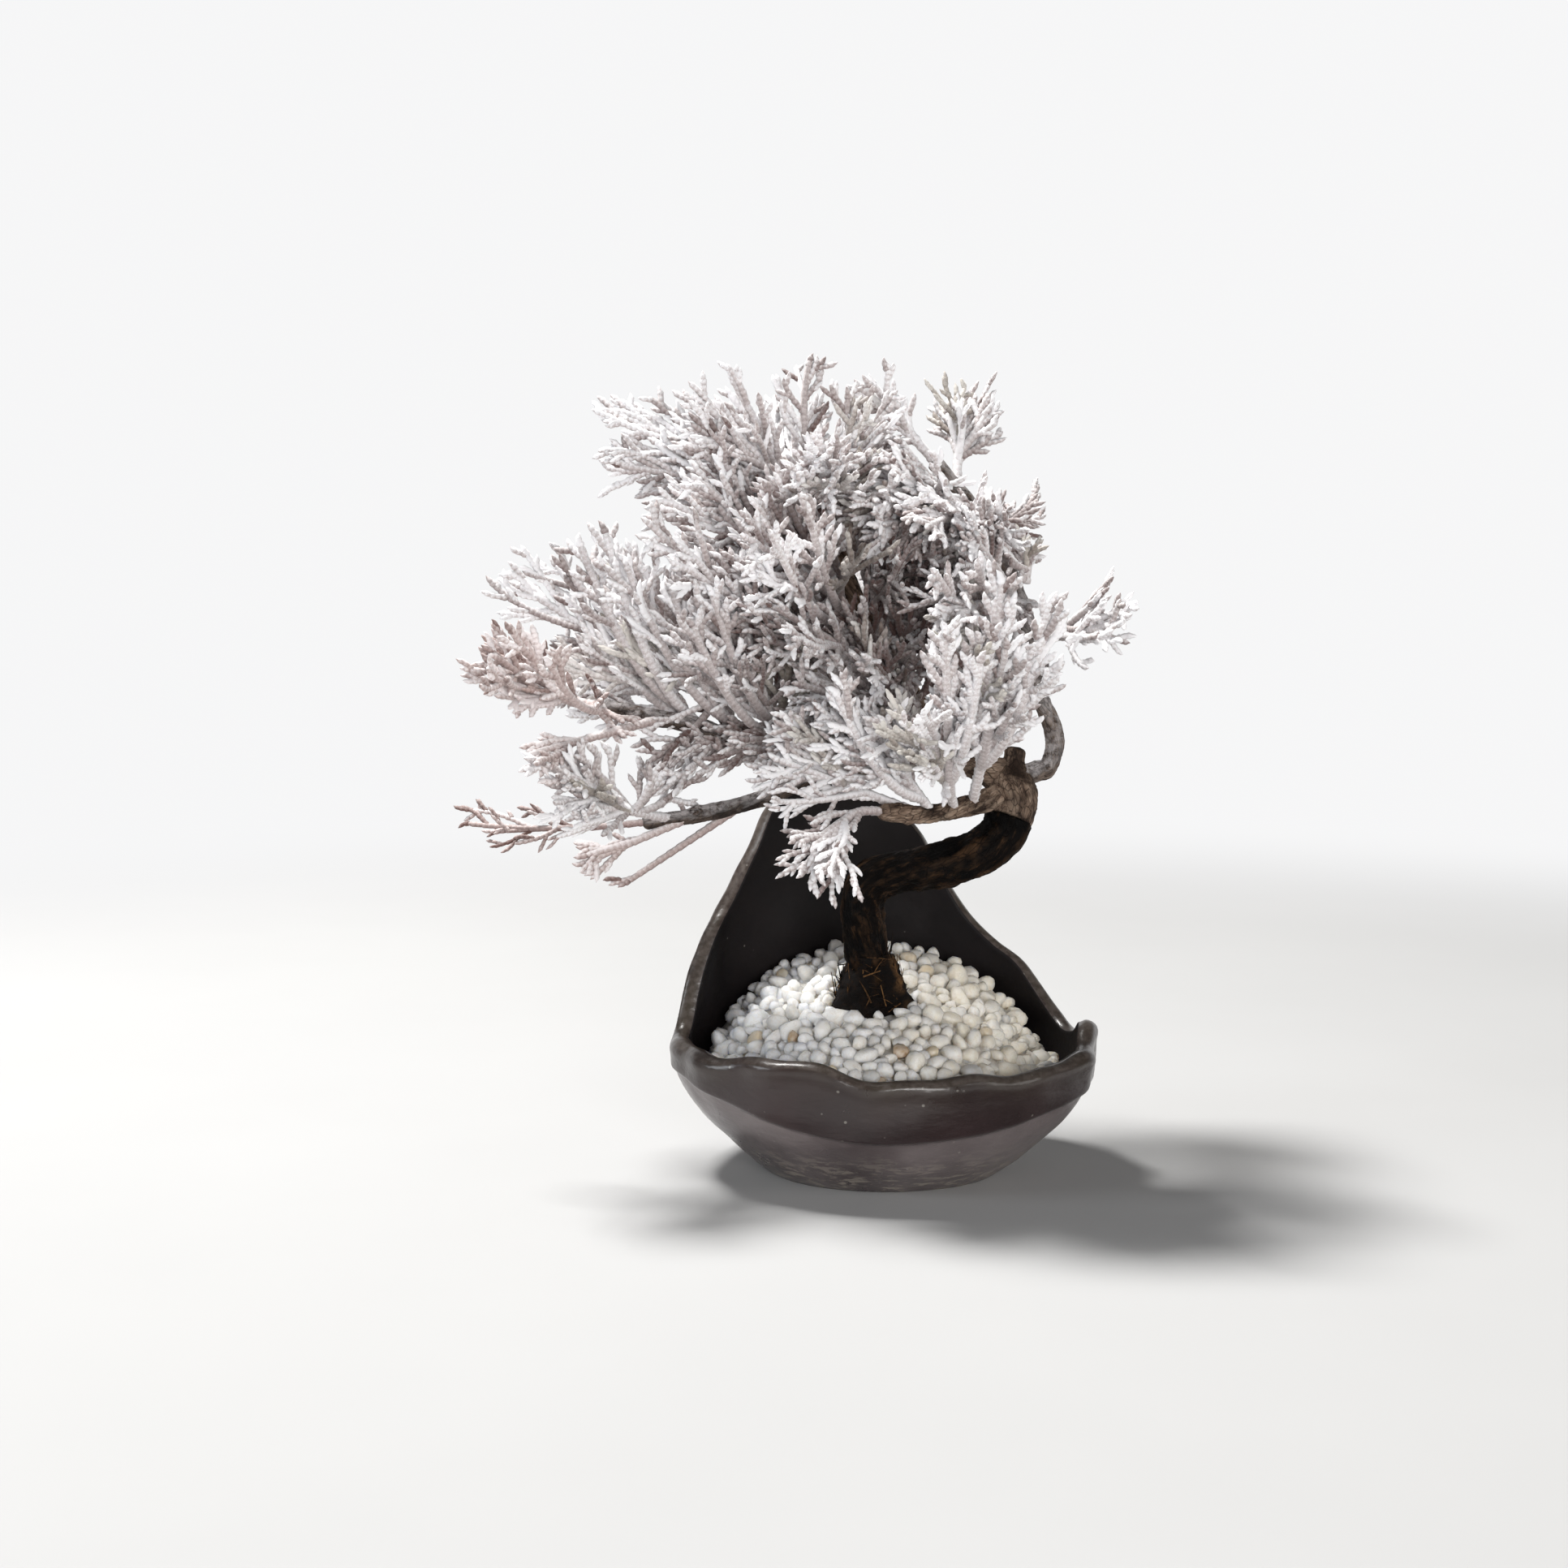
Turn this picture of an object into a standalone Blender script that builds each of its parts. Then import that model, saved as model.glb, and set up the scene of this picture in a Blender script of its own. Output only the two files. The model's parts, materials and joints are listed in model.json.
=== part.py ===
"""Artificial tabletop tree: frosted sprays plugged into a real-wood trunk, set in a hooded pot.

Metres, +Z up. The origin is the centre of the pot's flat foot, +X is the viewer's right and the
low front rim faces -Y.
"""

import math

import bmesh
import bpy
from mathutils import Matrix, Vector

MM = 0.001

# Clearances
GAP = 0.3 * MM            # between two pieces that touch face to face, and round a peg
WALL_GAP = 0.8 * MM       # between the pot's wall and what fills it

# Pot: a hand-built bowl whose back wall stands up as a hood
RIM_HALF_WIDTH = 65.0 * MM
RIM_HALF_DEPTH = 54.0 * MM
FOOT_HALF_WIDTH = 35.5 * MM
BULGE_HEIGHT = 41.0 * MM  # where the bowl is widest
POT_WALL = 4.5 * MM
WALL_LEAN = 0.18          # how fast the hood leans in above the bulge
BOWL_FULLNESS = 0.93      # below 1 the bowl's side is fuller than a sine curve
RIM_ROUNDING = 1.4 * MM
POT_COLUMNS = 72
BOWL_ROWS = 7             # rows of the skin up to the bulge, or to BOWL_SHARE of a low rim
HOOD_ROWS = 3             # rows from there to the rim
BOWL_SHARE = 0.8
FOLD_ANGLE = 50           # edges sharper than this, in degrees, are rounded at the lip

# Rim height in millimetres at each angle in degrees: 0 is the back, 90 the right, 180 the front
RIM_HEIGHTS = (
    (0, 110.5), (15, 100.5), (22, 88), (30, 74.5), (40, 65.5), (50, 58), (60, 48), (70, 41.5),
    (78, 42), (86, 46), (94, 45.5), (105, 42), (120, 40.5), (140, 39.5), (165, 39.5), (185, 40),
    (200, 43), (222, 43.5), (240, 42), (258, 42.5), (268, 42.5), (275, 45), (279, 52),
    (283, 60.5), (290, 72.5), (300, 82.5), (308, 95), (314, 108.5), (322, 116.5), (334, 120),
    (345, 117.5),
)

# What fills the pot
FOAM_TOP = 28.0 * MM
GRAVEL_MIDDLE = 53.5 * MM     # gravel surface at the pot's axis
GRAVEL_TILT = 0.27            # rise towards the back wall
GRAVEL_SAG = 1.4              # how the rise slackens, per metre
GRAVEL_CREST = -3.0 * MM      # the heap is highest this far to the right
GRAVEL_SHOULDER = 20.0 * MM   # its fall SHOULDER_REACH away from the crest, left and right
SHOULDER_REACH = 50.0 * MM
SHOULDER_POWER = 2.6          # the heap is flat in the middle and steep at its sides
GRAVEL_EDGE_LOWEST = 33.0 * MM
FILL_COLUMNS = 36
FOAM_RINGS = 4
GRAVEL_RINGS = 7
EDGE_ROUNDS = 4               # rounds in which the gravel's edge settles on the wall

# Wood
SOIL_HEIGHT = 50.0 * MM       # the trunk leaves the root clump here
TREE_RISE = 205.0 * MM        # from there to the highest spray
TRUNK_FOOT_RADIUS = 6.0 * MM
TRUNK_TOP_RADIUS = 7.2 * MM
TRUNK_ROUNDNESS = 3           # bevel resolution of the thick wood, and of what it fits in
LIMB_ROUNDNESS = 2
CROWN_FACE_RUN = 2.0 * MM     # straight wood on the crown's side of the seam
CLUMP_BOTTOM = 40.0 * MM
CLUMP_HEIGHT = 27.0 * MM
CLUMP_FOOT_RADIUS = 10.0 * MM
CLUMP_SWELL = 1.3             # how the clump widens above its foot
CLUMP_DRAW_IN = 1.6           # and how it closes on the trunk
CLUMP_SKIN = 1.2 * MM         # least peat round the trunk
CLUMP_COLUMNS = 14
CLUMP_RINGS = 7
# Lumps round the clump: how many, their twist over its height, their share of its radius
CLUMP_LUMPS = ((3, 5, 0.09), (5, -9, 0.05))
SEAT_OVERRUN = 12.0 * MM      # how far the trunk's seat is cut above the clump
TRUNK_FOOT_HEIGHT = 44.0 * MM
ROD_RADIUS = 1.6 * MM
ROD_IN_TRUNK = 12.0 * MM
ROD_IN_FOAM = 15.0 * MM
DOWEL_RADIUS = 2.5 * MM
DOWEL_HALF_LENGTH = 7.0 * MM
ROD_SIDES = 12                # facets of the rod and the dowel, and of their holes
PEG_HOLE_SIDES = 10
BORE_OVERRUN = 1.0 * MM       # how far a hole's cutter runs out of the face it starts in
LIMB_PEG_RADIUS = 2.2 * MM
LIMB_PEG_DEPTH = 4.0 * MM
PEG_NECK = 1.2 * MM           # plain peg that shows between a parent and a limb's shoulder

# Sprays
STEM_RADIUS = 0.9 * MM
STEM_DEPTH = 2.0 * MM         # how deep a stem's peg sits below its limb's surface
END_STEM_DEPTH = 4.0 * MM     # the same for a spray plugged into a limb's end
BLADE_THICKNESS = 3.2 * MM
BLADE_FACING = Vector((0, -1, 0.35))   # the side that a blade turns its flat to

# Curves and shading
CURVE_STEPS = 2               # steps between two way points
SMOOTH_ANGLE = 40             # edges flatter than this, in degrees, shade smooth

# Places on the tree are drawn in millimetres for a rise of 205 mm above a soil height of 50 mm
DRAWN_RISE = 205.0
DRAWN_SOIL = 50.0

TRUNK_BEND = (
    (-4, 2, 50), (-5, 2, 63), (-6.3, 0, 74), (-6.5, -1.5, 83), (-4.5, -4, 90), (2, -6, 93.5),
    (12, -7.5, 95.5), (23, -8, 98), (31, -7.4, 101.5), (36, -6, 105.8), (38, -4.6, 110),
)
# The crown: the pale wood that carries the limbs, up to its cut stub, with its radii in mm
CROWN_BEND = (
    (39, -3, 115, 8.2), (38.8, -1.4, 120, 7.8), (39, -0.6, 124.5, 5.4), (39.8, -0.3, 128.5, 3.3),
    (40.3, 0, 132, 3.7),
)

# Limb: name, parent, place along the parent (0 to 1), first and last radius in mm, way points
LIMBS = (
    ("limb_centre", "crown_burl", 0.50, 4.6, 2.6,
     ((24, 2.5, 129), (11.5, 6, 142), (0, 8, 159), (-10, 10, 179), (-17.5, 10, 199),
      (-22, 10, 214))),
    ("limb_right", "crown_burl", 0.56, 3.0, 2.4,
     ((50.5, 3.5, 125), (53, 6, 133), (51, 7, 141), (48.5, 8, 147), (49, 10, 153),
      (46, 12, 166), (38, 14, 186.5), (28, 14, 204), (15, 14, 220))),
    ("limb_front", "crown_burl", 0.38, 3.4, 2.4,
     ((26, -14, 115.5), (11, -25, 114), (-3, -34, 116))),
    ("limb_left", "limb_centre", 0.16, 3.2, 2.4,
     ((3, 6, 127), (-20, 4, 124.5), (-37.5, 0, 130), (-55, -4, 138), (-72, -8, 142),
      (-86, -10, 145))),
    ("limb_left_low", "limb_left", 0.33, 2.6, 2.4,
     ((-37, 2, 116), (-55, -6, 112), (-74, -12, 110))),
    ("limb_back", "limb_centre", 0.34, 2.8, 2.4,
     ((5, 22, 158), (2, 34, 168), (-4, 44, 178))),
)

# Spray: name, limb, place along the limb, tip, width in mm, rise of its arch in mm
SPRAYS = (
    ("spray_left_near", "limb_left", 1.00, (-117, -45, 157), 24, 0),
    ("spray_left_upper", "limb_left", 0.72, (-118, 10, 184), 26, 6),
    ("spray_left_fan", "limb_left", 0.58, (-80, -6, 186), 24, 4),
    ("spray_left_fan_inner", "limb_left", 0.42, (-55, -25, 178), 22, 0),
    ("spray_left_warm", "limb_left", 0.84, (-105, -50, 134), 22, 0),
    ("spray_left_rear", "limb_left", 0.78, (-105, 40, 160), 24, 6),
    ("spray_far_left", "limb_left_low", 1.00, (-132, -10, 110), 20, 0),
    ("spray_low_droop", "limb_left_low", 0.75, (-94, -25, 98), 14, 0),
    ("spray_low_twig", "limb_left_low", 0.50, (-82, -16, 90), 8, 0),
    ("spray_low_front", "limb_left_low", 0.86, (-98, -50, 122), 16, 0),
    ("spray_top_spike", "limb_centre", 1.00, (-22, 10, 254), 20, 0),
    ("spray_top_left", "limb_centre", 0.88, (-88, 15, 236), 28, 4),
    ("spray_top_left_inner", "limb_centre", 0.78, (-60, -5, 240), 22, 6),
    ("spray_mid_left", "limb_centre", 0.66, (-72, -18, 206), 24, 6),
    ("spray_mid_front", "limb_centre", 0.56, (-45, -48, 198), 26, 4),
    ("spray_mid_front_low", "limb_centre", 0.42, (-30, -58, 168), 24, 4),
    ("spray_top_front", "limb_centre", 0.84, (-18, -38, 222), 26, 6),
    ("spray_top_rear", "limb_centre", 0.94, (-42, 52, 232), 26, 6),
    ("spray_top_inner", "limb_centre", 0.92, (2, -12, 236), 20, 4),
    ("spray_crown_left", "limb_right", 0.86, (-6, -34, 202), 24, 6),
    ("spray_crown_inner", "limb_right", 0.72, (4, 12, 196), 22, 4),
    ("spray_crown_right", "limb_centre", 0.62, (24, -20, 196), 22, 4),
    ("spray_centre_low", "limb_centre", 0.26, (-20, -44, 144), 22, 4),
    ("spray_right_top", "limb_right", 1.00, (-6, 8, 246), 26, 0),
    ("spray_right_top_rear", "limb_right", 0.90, (25, 32, 240), 22, 6),
    ("spray_right_side", "limb_right", 0.66, (46, 15, 186), 14, 0),
    ("spray_right_front", "limb_right", 0.78, (12, -40, 206), 26, 4),
    ("spray_right_front_low", "limb_right", 0.60, (18, -58, 172), 28, 4),
    ("spray_right_rear", "limb_right", 0.70, (32, 66, 200), 28, 6),
    ("spray_far_right", "limb_right", 0.44, (68, -42, 172), 24, 0),
    ("spray_front_low", "limb_front", 1.00, (-18, -62, 100), 22, 0),
    ("spray_front_low_left", "limb_front", 0.68, (-36, -38, 133), 18, 0),
    ("spray_front_mid", "limb_front", 0.60, (-6, -48, 142), 20, 0),
    ("spray_front_right", "limb_front", 0.28, (32, -66, 170), 26, 0),
    ("spray_front_right_inner", "limb_front", 0.42, (8, -72, 150), 22, 0),
    ("spray_back_up", "limb_back", 1.00, (-14, 72, 210), 28, 0),
    ("spray_back_left", "limb_back", 0.62, (-56, 56, 184), 26, 4),
    ("spray_back_right", "limb_back", 0.78, (40, 60, 172), 26, 4),
    ("spray_back_low", "limb_back", 0.42, (-22, 62, 140), 24, 4),
)

# Blade outline along a spray: share of its length, share of its width, share of its thickness
BLADE_OUTLINE = (
    (0.30, 0.30, 0.8), (0.45, 0.72, 1.0), (0.62, 1.00, 1.0), (0.80, 0.78, 0.9), (1.00, 0.16, 0.4),
)
BLADE_START = 0.16            # share of a spray's length that is bare stem
SECTION_SIDES = 6


# Collections and materials

def clear_scene():
    for obj in list(bpy.data.objects):
        bpy.data.objects.remove(obj, do_unlink=True)


def new_collection(name):
    collection = bpy.data.collections.new(name)
    bpy.context.scene.collection.children.link(collection)
    return collection


clear_scene()
TREE = new_collection("artificial_tabletop_tree")
CUTTERS = new_collection("cutters")


def material(name, colour, roughness, metallic=0.0):
    made = bpy.data.materials.new(name)
    made.use_nodes = True
    shader = made.node_tree.nodes["Principled BSDF"]
    shader.inputs["Base Color"].default_value = (*colour, 1.0)
    shader.inputs["Roughness"].default_value = roughness
    shader.inputs["Metallic"].default_value = metallic
    return made


GLAZE = material("brown_glaze", (0.060, 0.045, 0.042), 0.35)
FOAM = material("floral_foam", (0.12, 0.16, 0.08), 0.95)
QUARTZ = material("white_quartz", (0.80, 0.78, 0.72), 0.45)
PEAT = material("root_peat", (0.035, 0.020, 0.012), 0.95)
STEEL = material("bright_steel", (0.55, 0.55, 0.56), 0.30, 1.0)
BARK = material("dark_bark", (0.060, 0.036, 0.022), 0.80)
PALE_WOOD = material("pale_wood", (0.160, 0.095, 0.055), 0.75)
BEECH = material("beech_dowel", (0.55, 0.38, 0.22), 0.60)
FROST = material("frosted_foliage", (0.66, 0.63, 0.65), 0.85)


# Meshes and objects

def add_object(name, mesh, surface, collection=TREE, origin=None):
    """An object of this mesh. Given an origin, its points are moved to sit round it."""
    if origin is not None:
        mesh.transform(Matrix.Translation(-origin))
    obj = bpy.data.objects.new(name, mesh)
    if origin is not None:
        obj.location = origin
    collection.objects.link(obj)
    if surface is not None:
        mesh.materials.append(surface)
    mesh.shade_smooth()
    mesh.set_sharp_from_angle(angle=math.radians(SMOOTH_ANGLE))
    return obj


def loft(name, rings):
    """A closed mesh through rings of equally many points, in order, with flat ends."""
    mesh = bpy.data.meshes.new(name)
    shape = bmesh.new()
    loops = [[shape.verts.new(point) for point in ring] for ring in rings]
    sides = len(loops[0])
    for lower, upper in zip(loops, loops[1:]):
        for i in range(sides):
            j = (i + 1) % sides
            shape.faces.new((lower[i], lower[j], upper[j], upper[i]))
    shape.faces.new(list(reversed(loops[0])))
    shape.faces.new(loops[-1])
    bmesh.ops.recalc_face_normals(shape, faces=shape.faces)
    shape.to_mesh(mesh)
    shape.free()
    return mesh


def curve_tube(name, path, surface, collection=TREE, roundness=LIMB_ROUNDNESS):
    """A mesh tube with welded flat caps along (point, radius) pairs."""
    widest = max(radius for _, radius in path)
    curve = bpy.data.curves.new(name + "_line", "CURVE")
    curve.dimensions = "3D"
    curve.bevel_depth = widest
    curve.bevel_resolution = roundness
    curve.use_fill_caps = True
    spline = curve.splines.new("POLY")
    spline.points.add(len(path) - 1)
    for knot, (point, radius) in zip(spline.points, path):
        knot.co = (*point, 1.0)
        knot.radius = radius / widest
    line = bpy.data.objects.new(name + "_line", curve)
    CUTTERS.objects.link(line)
    graph = bpy.context.evaluated_depsgraph_get()
    mesh = bpy.data.meshes.new_from_object(line.evaluated_get(graph))
    mesh.name = name
    weld(mesh)
    bpy.data.objects.remove(line, do_unlink=True)
    return add_object(name, mesh, surface, collection)


def weld(mesh):
    shape = bmesh.new()
    shape.from_mesh(mesh)
    bmesh.ops.remove_doubles(shape, verts=shape.verts, dist=0.001 * MM)
    bmesh.ops.recalc_face_normals(shape, faces=shape.faces)
    shape.to_mesh(mesh)
    shape.free()


def rod_mesh(name, start, end, radius, sides):
    """A cylinder's mesh from one point to another."""
    mesh = bpy.data.meshes.new(name)
    shape = bmesh.new()
    axis = end - start
    turn = axis.to_track_quat("Z", "Y").to_matrix().to_4x4()
    place = Matrix.Translation((start + end) / 2) @ turn
    bmesh.ops.create_cone(shape, cap_ends=True, segments=sides, radius1=radius, radius2=radius,
                          depth=axis.length, matrix=place)
    shape.to_mesh(mesh)
    shape.free()
    return mesh


def cut(target, cutter):
    """Takes the cutter out of the target with a Boolean that stays on the target."""
    cutter.hide_render = True
    cutter.display_type = "WIRE"
    boolean = target.modifiers.new(cutter.name, "BOOLEAN")
    boolean.operation = "DIFFERENCE"
    boolean.solver = "EXACT"
    boolean.object = cutter


def bore(target, start, end, radius, sides=PEG_HOLE_SIDES):
    """A round hole with clearance: radius is that of the peg which goes in."""
    name = f"{target.name}_bore_{len(target.modifiers)}"
    mesh = rod_mesh(name, start, end, radius + GAP, sides)
    cut(target, add_object(name, mesh, None, CUTTERS))


# Curves through hand-placed points

def catmull_rom(before, start, end, after, share):
    """One value between start and end on a smooth curve, for numbers or vectors."""
    square = share * share
    cube = square * share
    return 0.5 * (2 * start + (end - before) * share
                  + (2 * before - 5 * start + 4 * end - after) * square
                  + (3 * start - before - 3 * end + after) * cube)


def smooth_points(points, steps):
    """The points of a smooth curve through these, with this many steps in each span."""
    padded = [2 * points[0] - points[1], *points, 2 * points[-1] - points[-2]]
    curve = []
    for i in range(1, len(padded) - 2):
        for step in range(steps):
            curve.append(catmull_rom(*padded[i - 1:i + 3], step / steps))
    curve.append(points[-1])
    return curve


def closed_curve_value(table, angle):
    """A smooth value at this angle in degrees, from (angle, value) pairs round a circle."""
    count = len(table)
    for i in range(count):
        here, height = table[i]
        after, next_height = table[(i + 1) % count]
        span = (after - here) % 360
        if (angle - here) % 360 < span:
            break
    before, last_height = table[i - 1]
    beyond, beyond_height = table[(i + 2) % count]
    slope_in = (next_height - last_height) / ((after - before) % 360)
    slope_out = (beyond_height - height) / ((beyond - here) % 360)
    share = ((angle - here) % 360) / span
    square = share * share
    cube = square * share
    return ((2 * cube - 3 * square + 1) * height + (cube - 2 * square + share) * slope_in * span
            + (3 * square - 2 * cube) * next_height + (cube - square) * slope_out * span)


# Pot

def rim_height(angle):
    return closed_curve_value(RIM_HEIGHTS, angle) * MM


def outer_half_width(height):
    """Half the pot's width at this height: a sine-like bowl, then a hood that leans in."""
    if height < BULGE_HEIGHT:
        rise = math.sin(math.pi / 2 * height / BULGE_HEIGHT) ** BOWL_FULLNESS
        return FOOT_HALF_WIDTH + (RIM_HALF_WIDTH - FOOT_HALF_WIDTH) * rise
    return RIM_HALF_WIDTH - WALL_LEAN * (height - BULGE_HEIGHT) ** 2 / (
        height - BULGE_HEIGHT + RIM_ROUNDING)


def pot_point(angle, height, inset=0.0):
    """A point on the pot's outside, or on the surface this far inside it."""
    step = 0.5 * MM
    slope = (outer_half_width(height + step) - outer_half_width(max(0, height - step))) / (2 * step)
    depth_share = RIM_HALF_DEPTH / RIM_HALF_WIDTH
    half_width = outer_half_width(height) - inset * math.hypot(1, slope)
    half_depth = outer_half_width(height) * depth_share - inset * math.hypot(1, slope * depth_share)
    turn = math.radians(angle)
    return Vector((half_width * math.sin(turn), half_depth * math.cos(turn), height))


def skin_height(angle, row):
    """The height of one row of the pot's skin: close rows up the bowl, wide ones up the hood."""
    rim = rim_height(angle)
    bowl = min(BULGE_HEIGHT, BOWL_SHARE * rim)
    if row <= BOWL_ROWS:
        return bowl * row / BOWL_ROWS
    return bowl + (rim - bowl) * (row - BOWL_ROWS) / HOOD_ROWS


def ceramic_pot():
    """One open skin of the outside, thickened inwards, with a rounded lip."""
    mesh = bpy.data.meshes.new("ceramic_pot")
    shape = bmesh.new()
    rings = []
    for row in range(BOWL_ROWS + HOOD_ROWS + 1):
        ring = []
        for column in range(POT_COLUMNS):
            angle = 360 * column / POT_COLUMNS
            ring.append(shape.verts.new(pot_point(angle, skin_height(angle, row))))
        rings.append(ring)
    for lower, upper in zip(rings, rings[1:]):
        for i in range(POT_COLUMNS):
            j = (i + 1) % POT_COLUMNS
            shape.faces.new((lower[i], upper[i], upper[j], lower[j]))
    shape.faces.new(rings[0])
    shape.to_mesh(mesh)
    shape.free()
    pot = add_object("ceramic_pot", mesh, GLAZE)
    shell = pot.modifiers.new("wall", "SOLIDIFY")
    shell.thickness = POT_WALL
    shell.offset = -1
    shell.use_even_offset = True
    lip = pot.modifiers.new("lip", "BEVEL")
    lip.width = RIM_ROUNDING
    lip.segments = 2
    lip.limit_method = "ANGLE"
    lip.angle_limit = math.radians(FOLD_ANGLE)
    return pot


def fill_ring(height, columns=FILL_COLUMNS):
    """A ring just inside the pot's wall."""
    inset = POT_WALL + WALL_GAP
    return [pot_point(360 * i / columns, height, inset) for i in range(columns)]


def foam_block():
    bottom = POT_WALL + GAP
    heights = [bottom + (FOAM_TOP - bottom) * i / FOAM_RINGS for i in range(FOAM_RINGS + 1)]
    return add_object("foam_block", loft("foam_block", [fill_ring(z) for z in heights]), FOAM)


def gravel_height(x, y):
    """The gravel's surface: it climbs to the back wall and falls to both sides."""
    fall = GRAVEL_SHOULDER * (abs(x - GRAVEL_CREST) / SHOULDER_REACH) ** SHOULDER_POWER
    climb = GRAVEL_TILT * y - GRAVEL_SAG * y * y
    return max(GRAVEL_EDGE_LOWEST, GRAVEL_MIDDLE + climb - fall)


def gravel_edge(angle):
    """Where the gravel's surface meets the pot's wall."""
    inset = POT_WALL + WALL_GAP
    edge = pot_point(angle, BULGE_HEIGHT, inset)
    for _ in range(EDGE_ROUNDS):
        edge = pot_point(angle, gravel_height(edge.x, edge.y), inset)
    return edge


def gravel_bed():
    edges = [gravel_edge(360 * i / FILL_COLUMNS) for i in range(FILL_COLUMNS)]
    floor = FOAM_TOP + GAP
    rings = [fill_ring(floor), edges]
    for ring in range(1, GRAVEL_RINGS):
        share = 1 - ring / GRAVEL_RINGS
        flat = [Vector((edge.x * share, edge.y * share, 0)) for edge in edges]
        rings.append([Vector((p.x, p.y, gravel_height(p.x, p.y))) for p in flat])
    return add_object("gravel_bed", loft("gravel_bed", rings), QUARTZ)


# Wood

def tree_point(x, y, z):
    """A drawn place on the tree, in metres, spread with the tree's real rise."""
    scale = TREE_RISE / DRAWN_RISE
    return Vector((x * scale, y * scale, SOIL_HEIGHT + (z - DRAWN_SOIL) * scale))


class Wood:
    """A piece of wood: its centre line as (point, radius) pairs, and its object."""

    def __init__(self, name, path, surface, roundness=LIMB_ROUNDNESS):
        self.path = path
        self.object = curve_tube(name, path, surface, TREE, roundness)

    def at(self, place):
        """Point, direction and radius at a share of the length."""
        lengths = [0.0]
        for (a, _), (b, _) in zip(self.path, self.path[1:]):
            lengths.append(lengths[-1] + (b - a).length)
        wanted = place * lengths[-1]
        for i in range(len(self.path) - 1):
            if wanted <= lengths[i + 1] or i == len(self.path) - 2:
                break
        (a, radius_a), (b, radius_b) = self.path[i], self.path[i + 1]
        share = (wanted - lengths[i]) / (lengths[i + 1] - lengths[i])
        return a.lerp(b, share), (b - a).normalized(), radius_a + (radius_b - radius_a) * share


class Peg:
    """The seat of a peg in a parent: it points to `aim`, or straight on at the parent's end."""

    def __init__(self, parent, place, aim, radius, body_radius, depth, end_depth):
        point, along, parent_radius = parent.at(place)
        if place >= 1.0:
            self.direction = along
            self.inner = point - along * end_depth
            self.shoulder = point + along * PEG_NECK
        else:
            self.direction = (aim - point).normalized()
            slant = self.direction.angle(along)
            reach = (parent_radius + body_radius * abs(math.cos(slant))) / math.sin(slant)
            self.inner = point + self.direction * (parent_radius - depth) / math.sin(slant)
            self.shoulder = point + self.direction * (reach + PEG_NECK)
        bottom = self.inner - self.direction * GAP
        bore(parent.object, bottom, self.shoulder + self.direction * PEG_NECK, radius)


def trunk_path():
    """A plain foot inside the clump, then the bend; it thickens upwards."""
    bend = smooth_points([tree_point(*place) for place in TRUNK_BEND], CURVE_STEPS)
    points = [Vector((bend[0].x, bend[0].y, TRUNK_FOOT_HEIGHT)), *bend]
    grow = (TRUNK_TOP_RADIUS - TRUNK_FOOT_RADIUS) / (len(points) - 1)
    return [(point, TRUNK_FOOT_RADIUS + grow * i) for i, point in enumerate(points)]


def crown_path(seam, along):
    """From its flat face a gap above the trunk's, up to the cut stub."""
    face = seam + along * GAP
    knots = [(*(face + along * CROWN_FACE_RUN), TRUNK_TOP_RADIUS)]
    for x, y, z, radius in CROWN_BEND:
        knots.append((*tree_point(x, y, z), radius * MM))
    samples = smooth_points([Vector(knot) for knot in knots], CURVE_STEPS)
    return [(face, TRUNK_TOP_RADIUS)] + [(sample.xyz, sample.w) for sample in samples]


def crown_dowel(trunk, crown):
    """A dowel across the seam, in a blind hole on each side."""
    seam, along, _ = trunk.at(1.0)
    low = seam - along * DOWEL_HALF_LENGTH
    high = seam + along * DOWEL_HALF_LENGTH
    add_object("crown_dowel", rod_mesh("crown_dowel", low, high, DOWEL_RADIUS, ROD_SIDES), BEECH)
    bore(trunk.object, low - along * GAP, seam + along * BORE_OVERRUN, DOWEL_RADIUS, ROD_SIDES)
    bore(crown.object, seam - along * BORE_OVERRUN, high + along * GAP, DOWEL_RADIUS, ROD_SIDES)


def limb(name, parent, place, first_radius, last_radius, way_points):
    """A tapering limb with a round tenon in its parent."""
    points = [tree_point(*point) for point in way_points]
    peg = Peg(parent, place, points[0], LIMB_PEG_RADIUS, first_radius * MM, LIMB_PEG_DEPTH, 0)
    start = peg.shoulder + peg.direction * PEG_NECK
    body = smooth_points([start, *points], CURVE_STEPS)
    taper = (last_radius - first_radius) / (len(body) - 1)
    path = [(peg.inner, LIMB_PEG_RADIUS), (peg.shoulder, LIMB_PEG_RADIUS)]
    path += [(point, (first_radius + taper * i) * MM) for i, point in enumerate(body)]
    return Wood(name, path, BARK)


# Root clump and the rod that anchors the trunk

def clump_ring(axis, height, grow):
    """A lumpy ring of the root clump: widest low down, drawn in round the trunk above."""
    share = (height - CLUMP_BOTTOM) / CLUMP_HEIGHT
    swell = 1 + CLUMP_SWELL * share - CLUMP_DRAW_IN * share * share
    ring = []
    for i in range(CLUMP_COLUMNS):
        turn = 2 * math.pi * i / CLUMP_COLUMNS
        lump = 1 + sum(size * math.sin(count * turn + twist * share)
                       for count, twist, size in CLUMP_LUMPS)
        reach = max(CLUMP_FOOT_RADIUS * swell * lump, TRUNK_FOOT_RADIUS + CLUMP_SKIN) + grow
        offset = Vector((reach * math.cos(turn), reach * math.sin(turn), height))
        ring.append(Vector((axis.x, axis.y, 0)) + offset)
    return ring


def clump_rings(axis, low, high, grow):
    step = (high - low) / CLUMP_RINGS
    return [clump_ring(axis, low + step * i, grow) for i in range(CLUMP_RINGS + 1)]


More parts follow.
